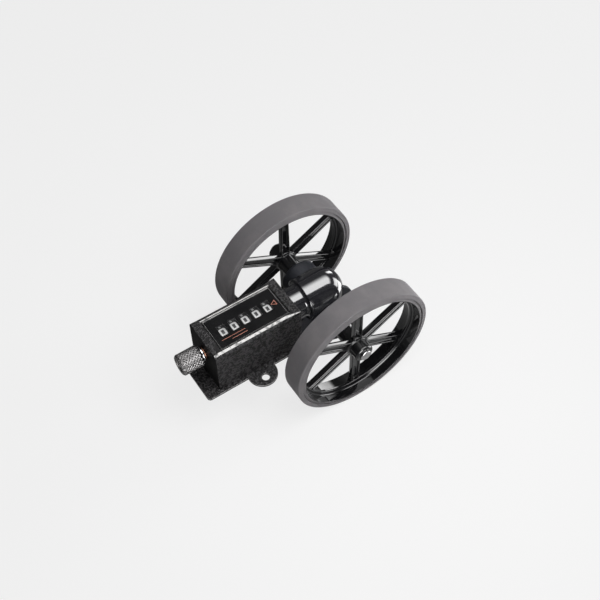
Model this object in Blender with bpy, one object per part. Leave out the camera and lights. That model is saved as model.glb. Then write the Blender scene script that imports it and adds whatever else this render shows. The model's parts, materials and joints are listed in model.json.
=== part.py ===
"""Cable length counter.

Two measuring wheels share one axle. Crossed helical gears between the wheels drive a counter
of five figures, with a reset knob at its far end. A third of a metre of cable turns the
wheels once, so three turns of the wheels turn the last figure once, which is one metre.

Lengths are in metres. The axle runs along X and the counter's shaft along Y, above it.
Places are measured from the middle of the axle until the counter_origin empty sets the
whole counter down with its lowest point at zero height.
"""

import math

import bmesh
import bpy

MM = 0.001
CLEARANCE = 0.3 * MM
CUT_OVERRUN = 2 * MM

# Measuring wheels
CABLE_FOR_ONE_TURN = 333.3 * MM
TYRE_RADIUS = CABLE_FOR_ONE_TURN / math.tau
TYRE_WIDTH = 17.5 * MM
TYRE_THICKNESS = 3.5 * MM
TYRE_EDGE = 0.7 * MM
WHEEL_STANDOFF = 17.4 * MM
RIM_WALL = 2.4 * MM
RIM_RIB_DEPTH = 2.8 * MM
RIM_RIB_WIDTH = 2.4 * MM
RIM_RIB_SHIFT = 0.6 * MM
SPOKE_COUNT = 6
SPOKE_ROOT_WIDTH = 7.4 * MM
SPOKE_TIP_WIDTH = 6.2 * MM
SPOKE_DEPTH = 4.6 * MM
SPOKE_WALL = 1.4 * MM
SPOKE_SHIFT = 1.0 * MM
SPOKE_FLARE = 1.6 * MM
HUB_RADIUS = 7.0 * MM
HUB_DISC_LIP = 1.6 * MM
HUB_OUTER_REACH = 9.8 * MM
HUB_CHAMFER = 0.8 * MM
HUB_GAP = 0.6 * MM
NUT_RADIUS = 4.2 * MM
NUT_HEIGHT = 2.0 * MM
NUT_BAND = 0.7 * MM
WHEEL_SEGMENTS = 48
HUB_SEGMENTS = 20

# Axle and the crossed helical gears
AXLE_RADIUS = 2.5 * MM
AXLE_CHAMFER = 0.5 * MM
GEAR_NORMAL_MODULE = 1.0815 * MM
GEAR_TOOTH_THICKNESS = 1.3 * MM
GEAR_ADDENDUM = 0.87 * MM
GEAR_DEDENDUM = 1.3 * MM
PRESSURE_ANGLE = math.radians(20)
AXLE_GEAR_TEETH = 4
AXLE_GEAR_HELIX = math.radians(64.4)
AXLE_GEAR_WIDTH = 8 * MM
AXLE_GEAR_LAYERS = 12
INPUT_GEAR_TEETH = 12
INPUT_GEAR_HELIX = math.pi / 2 - AXLE_GEAR_HELIX
INPUT_GEAR_WIDTH = 8 * MM
INPUT_GEAR_LAYERS = 3

# Axle housing
TUBE_RADIUS = 13.6 * MM
TUBE_HALF_LENGTH = 27.8 * MM
TUBE_ROUNDING = 2.4 * MM
TUBE_ROUNDING_STEPS = 2
FLANGE_RADIUS = 21.5 * MM
FLANGE_INNER_FACE = 8 * MM
FLANGE_WIDTH = 2.5 * MM
DRUM_RADIUS = 17.5 * MM
GEAR_POCKET_RADIUS = 8 * MM
GEAR_POCKET_MARGIN = 2 * MM
BUSH_RADIUS = 5 * MM
BUSH_LENGTH = 10 * MM
AXLE_HOLE_MARGIN = 1.1 * MM
HOUSING_SEGMENTS = 30

# Gear head, along the number shaft
HEAD_RADIUS = 15.4 * MM
HEAD_WALL = 2.5 * MM
HEAD_STEP = 15.5 * MM
HEAD_STEP_EDGE = 0.5 * MM
DOME_CENTRE = 1.3 * MM
DOME_STEPS = 6
END_WALL = 2 * MM
NECK_RADIUS = 12 * MM
NECK_BUSH_RADIUS = 4.6 * MM
NECK_BUSH_REACH = 2.2 * MM
BEARING_BOSS_RADIUS = 4.5 * MM
BEARING_BOSS_START = 8.5 * MM
BEARING_DEPTH = 3.2 * MM
HEAD_SEGMENTS = 30

# Counter case
FLANGE_TO_CASE = 4.55 * MM
CASE_HALF_WIDTH = 17.2 * MM
CASE_LENGTH = 66.45 * MM
CASE_ABOVE_SHAFT = 14 * MM
CASE_BELOW_SHAFT = 23.5 * MM
CASE_WALL = 1.6 * MM
CASE_TOP_WALL = 3.4 * MM
CASE_EDGE = 0.5 * MM
CASE_TOP_ROUNDING = 2.6 * MM
CASE_ROUNDING_STEPS = 4
LABEL_SIDE_MARGIN = 3.2 * MM
LABEL_END_MARGIN = 6.4 * MM
LABEL_SUNK = 0.4 * MM
LABEL_THICKNESS = 0.7 * MM
LABEL_FRAME_WIDTH = 1.7 * MM
LABEL_FRAME_HEIGHT = 0.3 * MM
LENS_THICKNESS = 0.9 * MM
LENS_MARGIN = 2.2 * MM
LIGHT_WELL_HALF_WIDTH = 6.2 * MM

# Base plate
BASE_THICKNESS = 1.7 * MM
BASE_HALF_WIDTH = 20.5 * MM
BASE_CORNER = 2.5 * MM
BASE_OVERHANG = 10.5 * MM
BASE_TO_FLANGE = 1 * MM
EAR_CENTRE = 22 * MM
EAR_RADIUS = 10.5 * MM
EAR_FROM_CASE_START = 35.45 * MM
EAR_HOLE_PLACE = 26 * MM
EAR_HOLE_RADIUS = 2.7 * MM
EAR_STEPS = 12

# Number wheels and their transfer gears
FIGURE_COUNT = 5
LAST_FIGURE_PLACE = 16.25 * MM
FIRST_FIGURE_MARGIN = 15.8 * MM
FIGURE_GAP = 2.2 * MM
NUMBER_RADIUS = 11.2 * MM
WINDOW_INSET = 0.3 * MM
WINDOW_HALF_HEIGHT = 4.2 * MM
NUMBER_SHAFT_RADIUS = 2 * MM
TRANSFER_MODULE = 0.92 * MM
TRANSFER_THICKNESS = 1.1 * MM
TRANSFER_ADDENDUM = 0.75 * MM
TRANSFER_DEDENDUM = 1.05 * MM
TRANSFER_GEAR_TEETH = 20
TRANSFER_GEAR_WIDTH = 0.8 * MM
PINION_TEETH = 8
PINION_SHAFT_RADIUS = 1.4 * MM
NUMBER_SEGMENTS = 22
SHAFT_SEGMENTS = 12
FRAME_SHEET = 1.2 * MM
FRAME_HALF_WIDTH = 11 * MM
FRAME_END_GAP = 4.4 * MM
FRAME_ABOVE_SHAFT = 7 * MM

# Reset knob
KNOB_RADIUS = 7.6 * MM
KNOB_LENGTH = 15.7 * MM
KNOB_CHAMFER = 0.9 * MM
KNURL_DEPTH = 0.35 * MM
KNURL_COLUMNS = 30
KNURL_ROWS = 8
COLLAR_RADIUS = 6 * MM
COLLAR_WIDTH = 1.3 * MM
KNOB_BUSH_RADIUS = 4.8 * MM
KNOB_BUSH_FLANGE = 1 * MM
KNOB_BUSH_SHANK_RADIUS = 3.6 * MM

# Places that follow from the sizes above
RIM_RADIUS = TYRE_RADIUS - TYRE_THICKNESS - CLEARANCE
RIM_INNER_RADIUS = RIM_RADIUS - RIM_WALL
WHEEL_PLACE = TUBE_HALF_LENGTH + WHEEL_STANDOFF
AXLE_BORE = AXLE_RADIUS + CLEARANCE
AXLE_GEAR_RADIUS = GEAR_NORMAL_MODULE * AXLE_GEAR_TEETH / 2 / math.cos(AXLE_GEAR_HELIX)
INPUT_GEAR_RADIUS = GEAR_NORMAL_MODULE * INPUT_GEAR_TEETH / 2 / math.cos(INPUT_GEAR_HELIX)
SHAFT_HEIGHT = AXLE_GEAR_RADIUS + INPUT_GEAR_RADIUS
SHAFT_BORE = NUMBER_SHAFT_RADIUS + CLEARANCE
FLANGE_OUTER_FACE = FLANGE_INNER_FACE + FLANGE_WIDTH
CASE_START = -FLANGE_RADIUS - FLANGE_TO_CASE
CASE_END = CASE_START - CASE_LENGTH
NECK_END = CASE_START + CLEARANCE
LABEL_START = CASE_START - LABEL_END_MARGIN
LABEL_END = CASE_END + LABEL_END_MARGIN
LABEL_HALF_WIDTH = CASE_HALF_WIDTH - LABEL_SIDE_MARGIN
LABEL_TOP = CASE_ABOVE_SHAFT - LABEL_SUNK
LENS_TOP = LABEL_TOP - LABEL_THICKNESS - CLEARANCE
LAST_FIGURE = CASE_START - LAST_FIGURE_PLACE
FIRST_FIGURE = CASE_END + FIRST_FIGURE_MARGIN
FIGURE_PITCH = (LAST_FIGURE - FIRST_FIGURE) / (FIGURE_COUNT - 1)
NUMBER_WIDTH = FIGURE_PITCH - FIGURE_GAP
WINDOW_WIDTH = NUMBER_WIDTH - 2 * WINDOW_INSET
WELL_START = LAST_FIGURE + NUMBER_WIDTH / 2 + LENS_MARGIN
WELL_END = FIRST_FIGURE - NUMBER_WIDTH / 2 - LENS_MARGIN
TRANSFER_GEAR_RADIUS = TRANSFER_MODULE * TRANSFER_GEAR_TEETH / 2
PINION_RADIUS = TRANSFER_MODULE * PINION_TEETH / 2
PINION_DROP = TRANSFER_GEAR_RADIUS + PINION_RADIUS
PINION_TIP = PINION_RADIUS + TRANSFER_ADDENDUM
PINION_BORE = PINION_SHAFT_RADIUS + CLEARANCE
LOCK_DISC_RADIUS = PINION_DROP - PINION_TIP - CLEARANCE
LOCK_DISC_WIDTH = FIGURE_GAP - TRANSFER_GEAR_WIDTH - 2 * CLEARANCE
FRAME_NEAR = WELL_START + FRAME_END_GAP
FRAME_FAR = WELL_END - FRAME_END_GAP
BASE_TOP = -CASE_BELOW_SHAFT - CLEARANCE
EAR_PLACE = CASE_START - EAR_FROM_CASE_START
BUSH_FACE = CASE_END - CLEARANCE
COLLAR_FACE = BUSH_FACE - KNOB_BUSH_FLANGE - CLEARANCE
KNOB_FACE = COLLAR_FACE - COLLAR_WIDTH - CLEARANCE
KNOB_END = KNOB_FACE - KNOB_LENGTH

# Colours and surfaces: colour, roughness, metallic
FINISHES = {
    "tyre_grey": ((0.16, 0.15, 0.16), 0.8, 0.0),
    "wheel_black": ((0.012, 0.012, 0.014), 0.3, 0.0),
    "bright_steel": ((0.62, 0.62, 0.63), 0.25, 1.0),
    "housing_grey": ((0.075, 0.08, 0.095), 0.55, 0.0),
    "gloss_black": ((0.01, 0.01, 0.012), 0.16, 0.0),
    "wrinkle_black": ((0.026, 0.024, 0.026), 0.6, 0.0),
    "label_black": ((0.012, 0.012, 0.013), 0.4, 0.0),
    "clear_pane": ((0.9, 0.9, 0.9), 0.05, 0.0),
    "number_black": ((0.01, 0.01, 0.01), 0.45, 0.0),
    "nylon_white": ((0.7, 0.68, 0.62), 0.5, 0.0),
    "brass": ((0.55, 0.36, 0.14), 0.3, 1.0),
    "knob_silver": ((0.5, 0.5, 0.5), 0.35, 1.0),
}

SMOOTH_BELOW = math.radians(35)


def clear_scene():
    """Remove every object, so that the script can be run again in one session."""
    for thing in list(bpy.data.objects):
        bpy.data.objects.remove(thing, do_unlink=True)


def finish_material(name):
    """Return the material of one named finish, made on its first use."""
    made = bpy.data.materials.get(name)
    if made:
        return made
    colour, roughness, metallic = FINISHES[name]
    made = bpy.data.materials.new(name)
    made.use_nodes = True
    shader = made.node_tree.nodes["Principled BSDF"]
    shader.inputs["Base Color"].default_value = (*colour, 1)
    shader.inputs["Roughness"].default_value = roughness
    shader.inputs["Metallic"].default_value = metallic
    return made


def empty(name, place, parent=None):
    """Add an empty that other pieces are placed from."""
    marker = bpy.data.objects.new(name, None)
    bpy.context.scene.collection.objects.link(marker)
    marker.location = place
    marker.parent = parent
    return marker


def solid(name, shape, finish, parent):
    """Turn a finished bmesh into a named object under its parent."""
    bmesh.ops.recalc_face_normals(shape, faces=shape.faces)
    mesh = bpy.data.meshes.new(name)
    shape.to_mesh(mesh)
    shape.free()
    mesh.shade_smooth()
    mesh.set_sharp_from_angle(angle=SMOOTH_BELOW)
    piece = bpy.data.objects.new(name, mesh)
    bpy.context.scene.collection.objects.link(piece)
    piece.parent = parent
    if finish:
        mesh.materials.append(finish_material(finish))
    return piece


def boolean(target, tool, operation):
    """Cut a hidden tool from a piece, or unite it with the piece."""
    change = target.modifiers.new(tool.name, "BOOLEAN")
    change.operation = operation
    change.solver = "EXACT"
    change.object = tool
    tool.hide_render = True
    tool.display_type = "WIRE"


def cut(target, tool):
    """Cut a hidden tool from a piece."""
    boolean(target, tool, "DIFFERENCE")


def unite(target, tool):
    """Add a hidden tool's shape to a piece."""
    boolean(target, tool, "UNION")


def on_axis(axis, along, radius, angle):
    """Return a point at a radius and a right-handed angle about the X or Y axis."""
    across = radius * math.cos(angle)
    onward = radius * math.sin(angle)
    if axis == "X":
        return (along, across, onward)
    return (onward, along, across)


def bridge(shape, ring, following):
    """Join two rings of points with faces; a ring may be one point on the axis."""
    count = max(len(ring), len(following))
    if count == 1:
        return
    for k in range(count):
        corners = [ring[k % len(ring)], ring[(k + 1) % count % len(ring)]]
        corners += [following[(k + 1) % count % len(following)], following[k % len(following)]]
        shape.faces.new(list(dict.fromkeys(corners)))


def turned(name, profile, axis, segments, finish, parent):
    """Turn a closed profile of (along, radius) points about an axis."""
    shape = bmesh.new()
    rings = []
    for along, radius in profile:
        steps = segments if radius > 0 else 1
        ring = [on_axis(axis, along, radius, math.tau * k / segments) for k in range(steps)]
        rings.append([shape.verts.new(point) for point in ring])
    for ring, following in zip(rings, rings[1:] + rings[:1]):
        bridge(shape, ring, following)
    return solid(name, shape, finish, parent)


def rod(name, axis, start, end, radius, chamfer, segments, finish, parent):
    """Make a round bar with a chamfer at both ends."""
    profile = [(start, 0), (start, radius - chamfer), (start + chamfer, radius)]
    profile += [(end - chamfer, radius), (end, radius - chamfer), (end, 0)]
    return turned(name, profile, axis, segments, finish, parent)


def plain_rod(name, axis, start, end, radius, segments, finish, parent):
    """Make a round bar with square ends."""
    profile = [(start, 0), (start, radius), (end, radius), (end, 0)]
    return turned(name, profile, axis, segments, finish, parent)


def sleeve(name, axis, start, end, radius, bore, segments, finish, parent):
    """Make a plain round tube."""
    profile = [(start, bore), (start, radius), (end, radius), (end, bore)]
    return turned(name, profile, axis, segments, finish, parent)


def arc(centre, radius, start, end, steps):
    """Return points along an arc, both ends included."""
    turns = [start + (end - start) * k / steps for k in range(steps + 1)]
    return [(centre[0] + radius * math.cos(a), centre[1] + radius * math.sin(a)) for a in turns]


def blocks(name, bounds, finish, parent):
    """Make one object of boxes, each given by its low and its high corner."""
    shape = bmesh.new()
    for low, high in bounds:
        corners = [
            shape.verts.new((x, y, z))
            for x in (low[0], high[0])
            for y in (low[1], high[1])
            for z in (low[2], high[2])
        ]
        for side in ((0, 1, 3, 2), (4, 6, 7, 5), (0, 4, 5, 1), (2, 3, 7, 6), (0, 2, 6, 4), (1, 5, 7, 3)):
            shape.faces.new([corners[k] for k in side])
    return solid(name, shape, finish, parent)


def prism(name, outline, low, high, finish, parent):
    """Raise an outline in the XY plane from one height to another."""
    shape = bmesh.new()
    bottom = [shape.verts.new((x, y, low)) for x, y in outline]
    top = [shape.verts.new((x, y, high)) for x, y in outline]
    bridge(shape, bottom, top)
    shape.faces.new(bottom)
    shape.faces.new(top)
    return solid(name, shape, finish, parent)


def tooth_points(teeth, pitch_radius, thickness, addendum, dedendum, flank, phase):
    """Return the (radius, angle) points of a gear with straight-sided teeth."""
    root = pitch_radius - dedendum
    tip = pitch_radius + addendum
    half_root = (thickness / 2 + dedendum * flank) / root
    half_tip = (thickness / 2 - addendum * flank) / tip
    points = []
    for k in range(teeth):
        middle = phase + math.tau * k / teeth
        points += [(root, middle - half_root), (tip, middle - half_tip)]
        points += [(tip, middle + half_tip), (root, middle + half_root)]
    return points


def toothed(name, axis, points, start, end, lead, layers, finish, parent):
    """Make a solid gear, whose teeth turn once round in one lead (or run straight if it is zero)."""
    shape = bmesh.new()
    rings = []
    for k in range(layers + 1):
        along = start + (end - start) * k / layers
        twist = math.tau * along / lead if lead else 0
        ring = [on_axis(axis, along, radius, angle + twist) for radius, angle in points]
        rings.append([shape.verts.new(point) for point in ring])
    for ring, following in zip(rings, rings[1:]):
        bridge(shape, ring, following)
    shape.faces.new(rings[0])
    shape.faces.new(rings[-1])
    return solid(name, shape, finish, parent)


def bore(target, axis, start, end, radius, parent):
    """Cut a round hole right through a piece that lies between two places on an axis."""
    name = f"{target.name}_bore_cutter"
    low = min(start, end) - CUT_OVERRUN
    high = max(start, end) + CUT_OVERRUN
    cut(target, plain_rod(name, axis, low, high, radius, SHAFT_SEGMENTS, None, parent))


def spoke_section(width, centre, height):
    """Return the points of an H section: two flanges along X, joined by a web."""
    half = width / 2
    inside = half - SPOKE_WALL
    edge = SPOKE_DEPTH / 2
    web = SPOKE_WALL / 2
    outline = [(edge, -half), (edge, -inside), (web, -inside), (web, inside), (edge, inside), (edge, half)]
    outline += [(-x, -y) for x, y in outline]
    return [(centre + x, y, height) for x, y in outline]


def spokes(name, centre, hub_radius, parent):
    """Make all the spokes of one wheel, as separate bars that end inside the hub and the rim."""
    start = hub_radius - CUT_OVERRUN / 2
    end = RIM_INNER_RADIUS + RIM_WALL / 2
    stations = [
        (start, SPOKE_ROOT_WIDTH),
        (RIM_INNER_RADIUS - 2 * SPOKE_FLARE, SPOKE_TIP_WIDTH),
        (RIM_INNER_RADIUS - SPOKE_FLARE / 2, SPOKE_TIP_WIDTH + SPOKE_FLARE / 2),
        (end, SPOKE_TIP_WIDTH + 2 * SPOKE_FLARE),
    ]
    shape = bmesh.new()
    for k in range(SPOKE_COUNT):
        turn = math.tau * k / SPOKE_COUNT
        rings = []
        for height, width in stations:
            ring = []
            for x, y, z in spoke_section(width, centre, height):
                turned_y = y * math.cos(turn) + z * math.sin(turn)
                turned_z = z * math.cos(turn) - y * math.sin(turn)
                ring.append(shape.verts.new((x, turned_y, turned_z)))
            rings.append(ring)
        for ring, following in zip(rings, rings[1:]):
            bridge(shape, ring, following)
        shape.faces.new(rings[0])
        shape.faces.new(rings[-1])
    return solid(name, shape, None, parent)


def mirrored(profile, side):
    """Return a profile for the right side (+1) or the left side (-1)."""
    return [(side * along, radius) for along, radius in profile]


def measuring_wheel(word, side, parent):
    """Make one wheel with its rim, rib, spokes and hub, and the tyre and nut that go with it."""
    half = TYRE_WIDTH / 2
    inner = WHEEL_PLACE - half
    outer = WHEEL_PLACE + half
    rib = WHEEL_PLACE + RIM_RIB_SHIFT
    rib_radius = RIM_INNER_RADIUS - RIM_RIB_DEPTH
    rim = [
        (inner, RIM_RADIUS),
        (outer, RIM_RADIUS),
        (outer, RIM_INNER_RADIUS),
        (rib + RIM_RIB_WIDTH / 2, RIM_INNER_RADIUS),
        (rib + RIM_RIB_WIDTH / 2, rib_radius),
        (rib - RIM_RIB_WIDTH / 2, rib_radius),
        (rib - RIM_RIB_WIDTH / 2, RIM_INNER_RADIUS),
        (inner, RIM_INNER_RADIUS),
    ]
    wheel = turned(f"wheel_{word}", mirrored(rim, side), "X", WHEEL_SEGMENTS, "wheel_black", parent)

    spoke_plane = WHEEL_PLACE - SPOKE_SHIFT
    disc_radius = HUB_RADIUS + HUB_DISC_LIP
    hub_start = TUBE_HALF_LENGTH + HUB_GAP
    hub_end = WHEEL_PLACE + HUB_OUTER_REACH
    hub = [
        (hub_start, AXLE_BORE),
        (hub_start, HUB_RADIUS),
        (spoke_plane - SPOKE_DEPTH / 2, HUB_RADIUS),
        (spoke_plane - SPOKE_DEPTH / 2, disc_radius),
        (spoke_plane + SPOKE_DEPTH / 2, disc_radius),
        (spoke_plane + SPOKE_DEPTH / 2, HUB_RADIUS),
        (hub_end - HUB_CHAMFER, HUB_RADIUS),
        (hub_end, HUB_RADIUS - HUB_CHAMFER),
        (hub_end, AXLE_BORE),
    ]
    unite(wheel, spokes(f"spokes_{word}_form", side * spoke_plane, disc_radius, parent))
    unite(wheel, turned(f"hub_{word}_form", mirrored(hub, side), "X", HUB_SEGMENTS, None, parent))

    tyre = [
        (inner, RIM_RADIUS + CLEARANCE),
        (inner, TYRE_RADIUS - TYRE_EDGE),
        (inner + TYRE_EDGE, TYRE_RADIUS),
        (outer - TYRE_EDGE, TYRE_RADIUS),
        (outer, TYRE_RADIUS - TYRE_EDGE),
        (outer, RIM_RADIUS + CLEARANCE),
    ]
    turned(f"tyre_{word}", mirrored(tyre, side), "X", WHEEL_SEGMENTS, "tyre_grey", parent)

    nut_face = hub_end + CLEARANCE
    crown = nut_face + NUT_BAND
    rise = NUT_HEIGHT - NUT_BAND
    dome = [(crown + rise * math.sin(a), NUT_RADIUS * math.cos(a)) for a in (0, math.pi / 6, math.pi / 3)]
    nut = [(nut_face, 0), (nut_face, NUT_RADIUS)] + dome + [(nut_face + NUT_HEIGHT, 0)]
    turned(f"hub_nut_{word}", mirrored(nut, side), "X", SHAFT_SEGMENTS, "bright_steel", parent)


def axle_assembly(parent):
    """Make the axle, its gear and both measuring wheels."""
    reach = WHEEL_PLACE + HUB_OUTER_REACH
    rod("axle", "X", -reach, reach, AXLE_RADIUS, AXLE_CHAMFER, SHAFT_SEGMENTS, "bright_steel", parent)
    flank = math.tan(PRESSURE_ANGLE) / math.cos(AXLE_GEAR_HELIX)
    thickness = GEAR_TOOTH_THICKNESS / math.cos(AXLE_GEAR_HELIX)
    points = tooth_points(
        AXLE_GEAR_TEETH, AXLE_GEAR_RADIUS, thickness, GEAR_ADDENDUM, GEAR_DEDENDUM, flank, math.pi / 2
    )
    lead = math.tau * AXLE_GEAR_RADIUS / math.tan(AXLE_GEAR_HELIX)
    half = AXLE_GEAR_WIDTH / 2
    gear = toothed("axle_gear", "X", points, -half, half, lead, AXLE_GEAR_LAYERS, "bright_steel", parent)
    bore(gear, "X", -half, half, AXLE_BORE, parent)
    for word, side in (("left", -1), ("right", 1)):
        measuring_wheel(word, side, parent)


def head_outline(grown):
    """Return the head's outer profile from the neck to the dome's tip, grown all round."""
    radius = HEAD_RADIUS + grown
    turns = [math.pi / 2 * k / DOME_STEPS for k in range(DOME_STEPS)]
    dome = [(DOME_CENTRE + radius * math.sin(a), radius * math.cos(a)) for a in turns]
    step = -HEAD_STEP - grown
    rim = [(step, radius - HEAD_STEP_EDGE), (step + HEAD_STEP_EDGE, radius)]
    return rim + dome + [(DOME_CENTRE + radius, 0)]


def axle_housing(axle_axis, number_axis):
    """Make the casting round the axle, with a cradle cut for the head, and its bushes."""
    seat = TUBE_HALF_LENGTH - BUSH_LENGTH - CLEARANCE
    hole = AXLE_RADIUS + AXLE_HOLE_MARGIN
    pocket = AXLE_GEAR_WIDTH / 2 + GEAR_POCKET_MARGIN
    tube_end = (TUBE_HALF_LENGTH - TUBE_ROUNDING, TUBE_RADIUS - TUBE_ROUNDING)
    half = [
        (0, DRUM_RADIUS),
        (FLANGE_INNER_FACE, DRUM_RADIUS),
        (FLANGE_INNER_FACE, FLANGE_RADIUS),
        (FLANGE_OUTER_FACE, FLANGE_RADIUS),
        (FLANGE_OUTER_FACE, TUBE_RADIUS),
        *arc(tube_end, TUBE_ROUNDING, math.pi / 2, 0, TUBE_ROUNDING_STEPS),
        (TUBE_HALF_LENGTH, BUSH_RADIUS + CLEARANCE),
        (seat, BUSH_RADIUS + CLEARANCE),
        (seat, hole),
        (pocket, hole),
        (pocket, GEAR_POCKET_RADIUS),
        (0, GEAR_POCKET_RADIUS),
    ]
    profile = half[1:-1] + mirrored(half[1:-1], -1)[::-1]
    housing = turned("axle_housing", profile, "X", HOUSING_SEGMENTS, "housing_grey", axle_axis)
    cradle = head_outline(CLEARANCE)
    neck = NECK_RADIUS + CLEARANCE
    cradle += [(CASE_START, 0), (CASE_START, neck), (-HEAD_STEP - CLEARANCE, neck)]
    cut(housing, turned("cradle_cutter", cradle, "Y", HEAD_SEGMENTS, None, number_axis))
    way_half = FLANGE_OUTER_FACE + CLEARANCE
    way_over = ((-way_half, CASE_START, 0), (way_half, DOME_CENTRE, FLANGE_RADIUS))
    cut(housing, blocks("way_over_head_cutter", [way_over], None, number_axis))
    for word, side in (("left", -1), ("right", 1)):
        start = side * (TUBE_HALF_LENGTH - BUSH_LENGTH)
        end = side * TUBE_HALF_LENGTH
        sleeve(f"axle_bush_{word}", "X", start, end, BUSH_RADIUS, AXLE_BORE, HUB_SEGMENTS, "brass", axle_axis)


def gear_case(axle_axis, number_axis):
    """Make the head's domed case, its neck and the bush of the input shaft."""
    bore = HEAD_RADIUS - HEAD_WALL
    neck_hole = NECK_RADIUS + CLEARANCE
    boss_turn = math.acos(BEARING_BOSS_RADIUS / bore)
    turns = [boss_turn * k / (DOME_STEPS // 2) for k in range(DOME_STEPS // 2 + 1)]
    inside = [(DOME_CENTRE + bore * math.sin(a), bore * math.cos(a)) for a in reversed(turns)]
    bearing_end = BEARING_BOSS_START + BEARING_DEPTH
    profile = head_outline(0)
    profile += [(bearing_end, 0), (bearing_end, SHAFT_BORE), (BEARING_BOSS_START, SHAFT_BORE)]
    profile += [(BEARING_BOSS_START, BEARING_BOSS_RADIUS)] + inside
    profile += [(-HEAD_STEP + END_WALL, bore), (-HEAD_STEP + END_WALL, neck_hole), (-HEAD_STEP, neck_hole)]
    case = turned("gear_case", profile, "Y", HEAD_SEGMENTS, "gloss_black", number_axis)
    hole = AXLE_RADIUS + AXLE_HOLE_MARGIN
    pocket = AXLE_GEAR_WIDTH / 2 + GEAR_POCKET_MARGIN
    reach = HEAD_RADIUS + CUT_OVERRUN
    axle_way = [(-reach, 0), (-reach, hole), (-pocket, hole), (-pocket, GEAR_POCKET_RADIUS)]
    axle_way += mirrored(axle_way, -1)[::-1]
    cut(case, turned("axle_way_cutter", axle_way, "X", HUB_SEGMENTS, None, axle_axis))

    bush_bore = NECK_BUSH_RADIUS + CLEARANCE
    neck_inner = -HEAD_STEP + END_WALL
    neck = (NECK_END, neck_inner, NECK_RADIUS, bush_bore)
    sleeve("gear_case_neck", "Y", *neck, HEAD_SEGMENTS, "gloss_black", number_axis)
    bush = (CASE_START - NECK_BUSH_REACH, neck_inner, NECK_BUSH_RADIUS, SHAFT_BORE)
    sleeve("neck_bush", "Y", *bush, HUB_SEGMENTS, "brass", number_axis)


def hood_block(parent):
    """Make the hood's outside as a solid block, with its two long top edges rounded."""
    centre = (CASE_HALF_WIDTH - CASE_TOP_ROUNDING, CASE_ABOVE_SHAFT - CASE_TOP_ROUNDING)
    right = [(CASE_HALF_WIDTH, -CASE_BELOW_SHAFT)]
    right += arc(centre, CASE_TOP_ROUNDING, 0, math.pi / 2, CASE_ROUNDING_STEPS)
    outline = right + [(-x, z) for x, z in reversed(right)]
    shape = bmesh.new()
    far = [shape.verts.new((x, CASE_END, z)) for x, z in outline]
    near = [shape.verts.new((x, CASE_START, z)) for x, z in outline]
    bridge(shape, far, near)
    shape.faces.new(far)
    shape.faces.new(near)
    return solid("counter_case", shape, "wrinkle_black", parent)


def counter_case(parent):
    """Make the hood with its label recess, lens ledge and light well, and the plate and lens in it."""
    side = CASE_HALF_WIDTH
    case = hood_block(parent)
    edge = case.modifiers.new("soft_edges", "BEVEL")
    edge.width = CASE_EDGE
    edge.segments = 2
    edge.limit_method = "ANGLE"
    inside = side - CASE_WALL
    floor = -CASE_BELOW_SHAFT - CUT_OVERRUN
    ceiling = CASE_ABOVE_SHAFT - CASE_TOP_WALL
    cavity = ((-inside, CASE_END + CASE_WALL, floor), (inside, CASE_START - CASE_WALL, ceiling))
    cut(case, blocks("case_cavity_cutter", [cavity], None, parent))

    above = CASE_ABOVE_SHAFT + CUT_OVERRUN
    plate_floor = LENS_TOP
    recess = ((-LABEL_HALF_WIDTH, LABEL_END, plate_floor), (LABEL_HALF_WIDTH, LABEL_START, above))
    cut(case, blocks("label_recess_cutter", [recess], None, parent))
    lens_half = LIGHT_WELL_HALF_WIDTH + LENS_MARGIN
    ledge = LENS_TOP - LENS_THICKNESS - CLEARANCE
    lens_low = (-lens_half - CLEARANCE, WELL_END - LENS_MARGIN - CLEARANCE, ledge)
    lens_high = (lens_half + CLEARANCE, WELL_START + LENS_MARGIN + CLEARANCE, above)
    cut(case, blocks("lens_recess_cutter", [(lens_low, lens_high)], None, parent))
    well_low = (-LIGHT_WELL_HALF_WIDTH, WELL_END, ceiling - CUT_OVERRUN)
    well_high = (LIGHT_WELL_HALF_WIDTH, WELL_START, above)
    cut(case, blocks("light_well_cutter", [(well_low, well_high)], None, parent))
    near = CASE_START + CUT_OVERRUN
    middle = (CASE_START + CASE_END) / 2
    bush_hole = plain_rod(
        "neck_hole_cutter", "Y", middle, near, NECK_BUSH_RADIUS + CLEARANCE, HUB_SEGMENTS, None, parent
    )
    cut(case, bush_hole)
    far = CASE_END - CUT_OVERRUN
    knob_hole = plain_rod(
        "knob_hole_cutter", "Y", far, middle, KNOB_BUSH_SHANK_RADIUS + CLEARANCE, HUB_SEGMENTS, None, parent
    )
    cut(case, knob_hole)

    half = LABEL_HALF_WIDTH - CLEARANCE
    plate_low = (-half, LABEL_END + CLEARANCE, LABEL_TOP - LABEL_THICKNESS)
    plate_high = (half, LABEL_START - CLEARANCE, LABEL_TOP)
    plate = blocks("label_plate", [(plate_low, plate_high)], "label_black", parent)
    windows = []
    for k in range(FIGURE_COUNT):
        place = FIRST_FIGURE + k * FIGURE_PITCH
        low = (-WINDOW_HALF_HEIGHT, place - WINDOW_WIDTH / 2, LENS_TOP - CUT_OVERRUN)
        high = (WINDOW_HALF_HEIGHT, place + WINDOW_WIDTH / 2, above)
        windows.append((low, high))
    cut(plate, blocks("windows_cutter", windows, None, parent))
    frame = CLEARANCE + LABEL_FRAME_WIDTH
    face_low = (frame - LABEL_HALF_WIDTH, LABEL_END + frame, LABEL_TOP - LABEL_FRAME_HEIGHT)
    face_high = (LABEL_HALF_WIDTH - frame, LABEL_START - frame, above)
    cut(plate, blocks("label_face_cutter", [(face_low, face_high)], None, parent))
    lens_low = (-lens_half, WELL_END - LENS_MARGIN, LENS_TOP - LENS_THICKNESS)
    lens_high = (lens_half, WELL_START + LENS_MARGIN, LENS_TOP)
    blocks("window_lens", [(lens_low, lens_high)], "clear_pane", parent)


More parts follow.
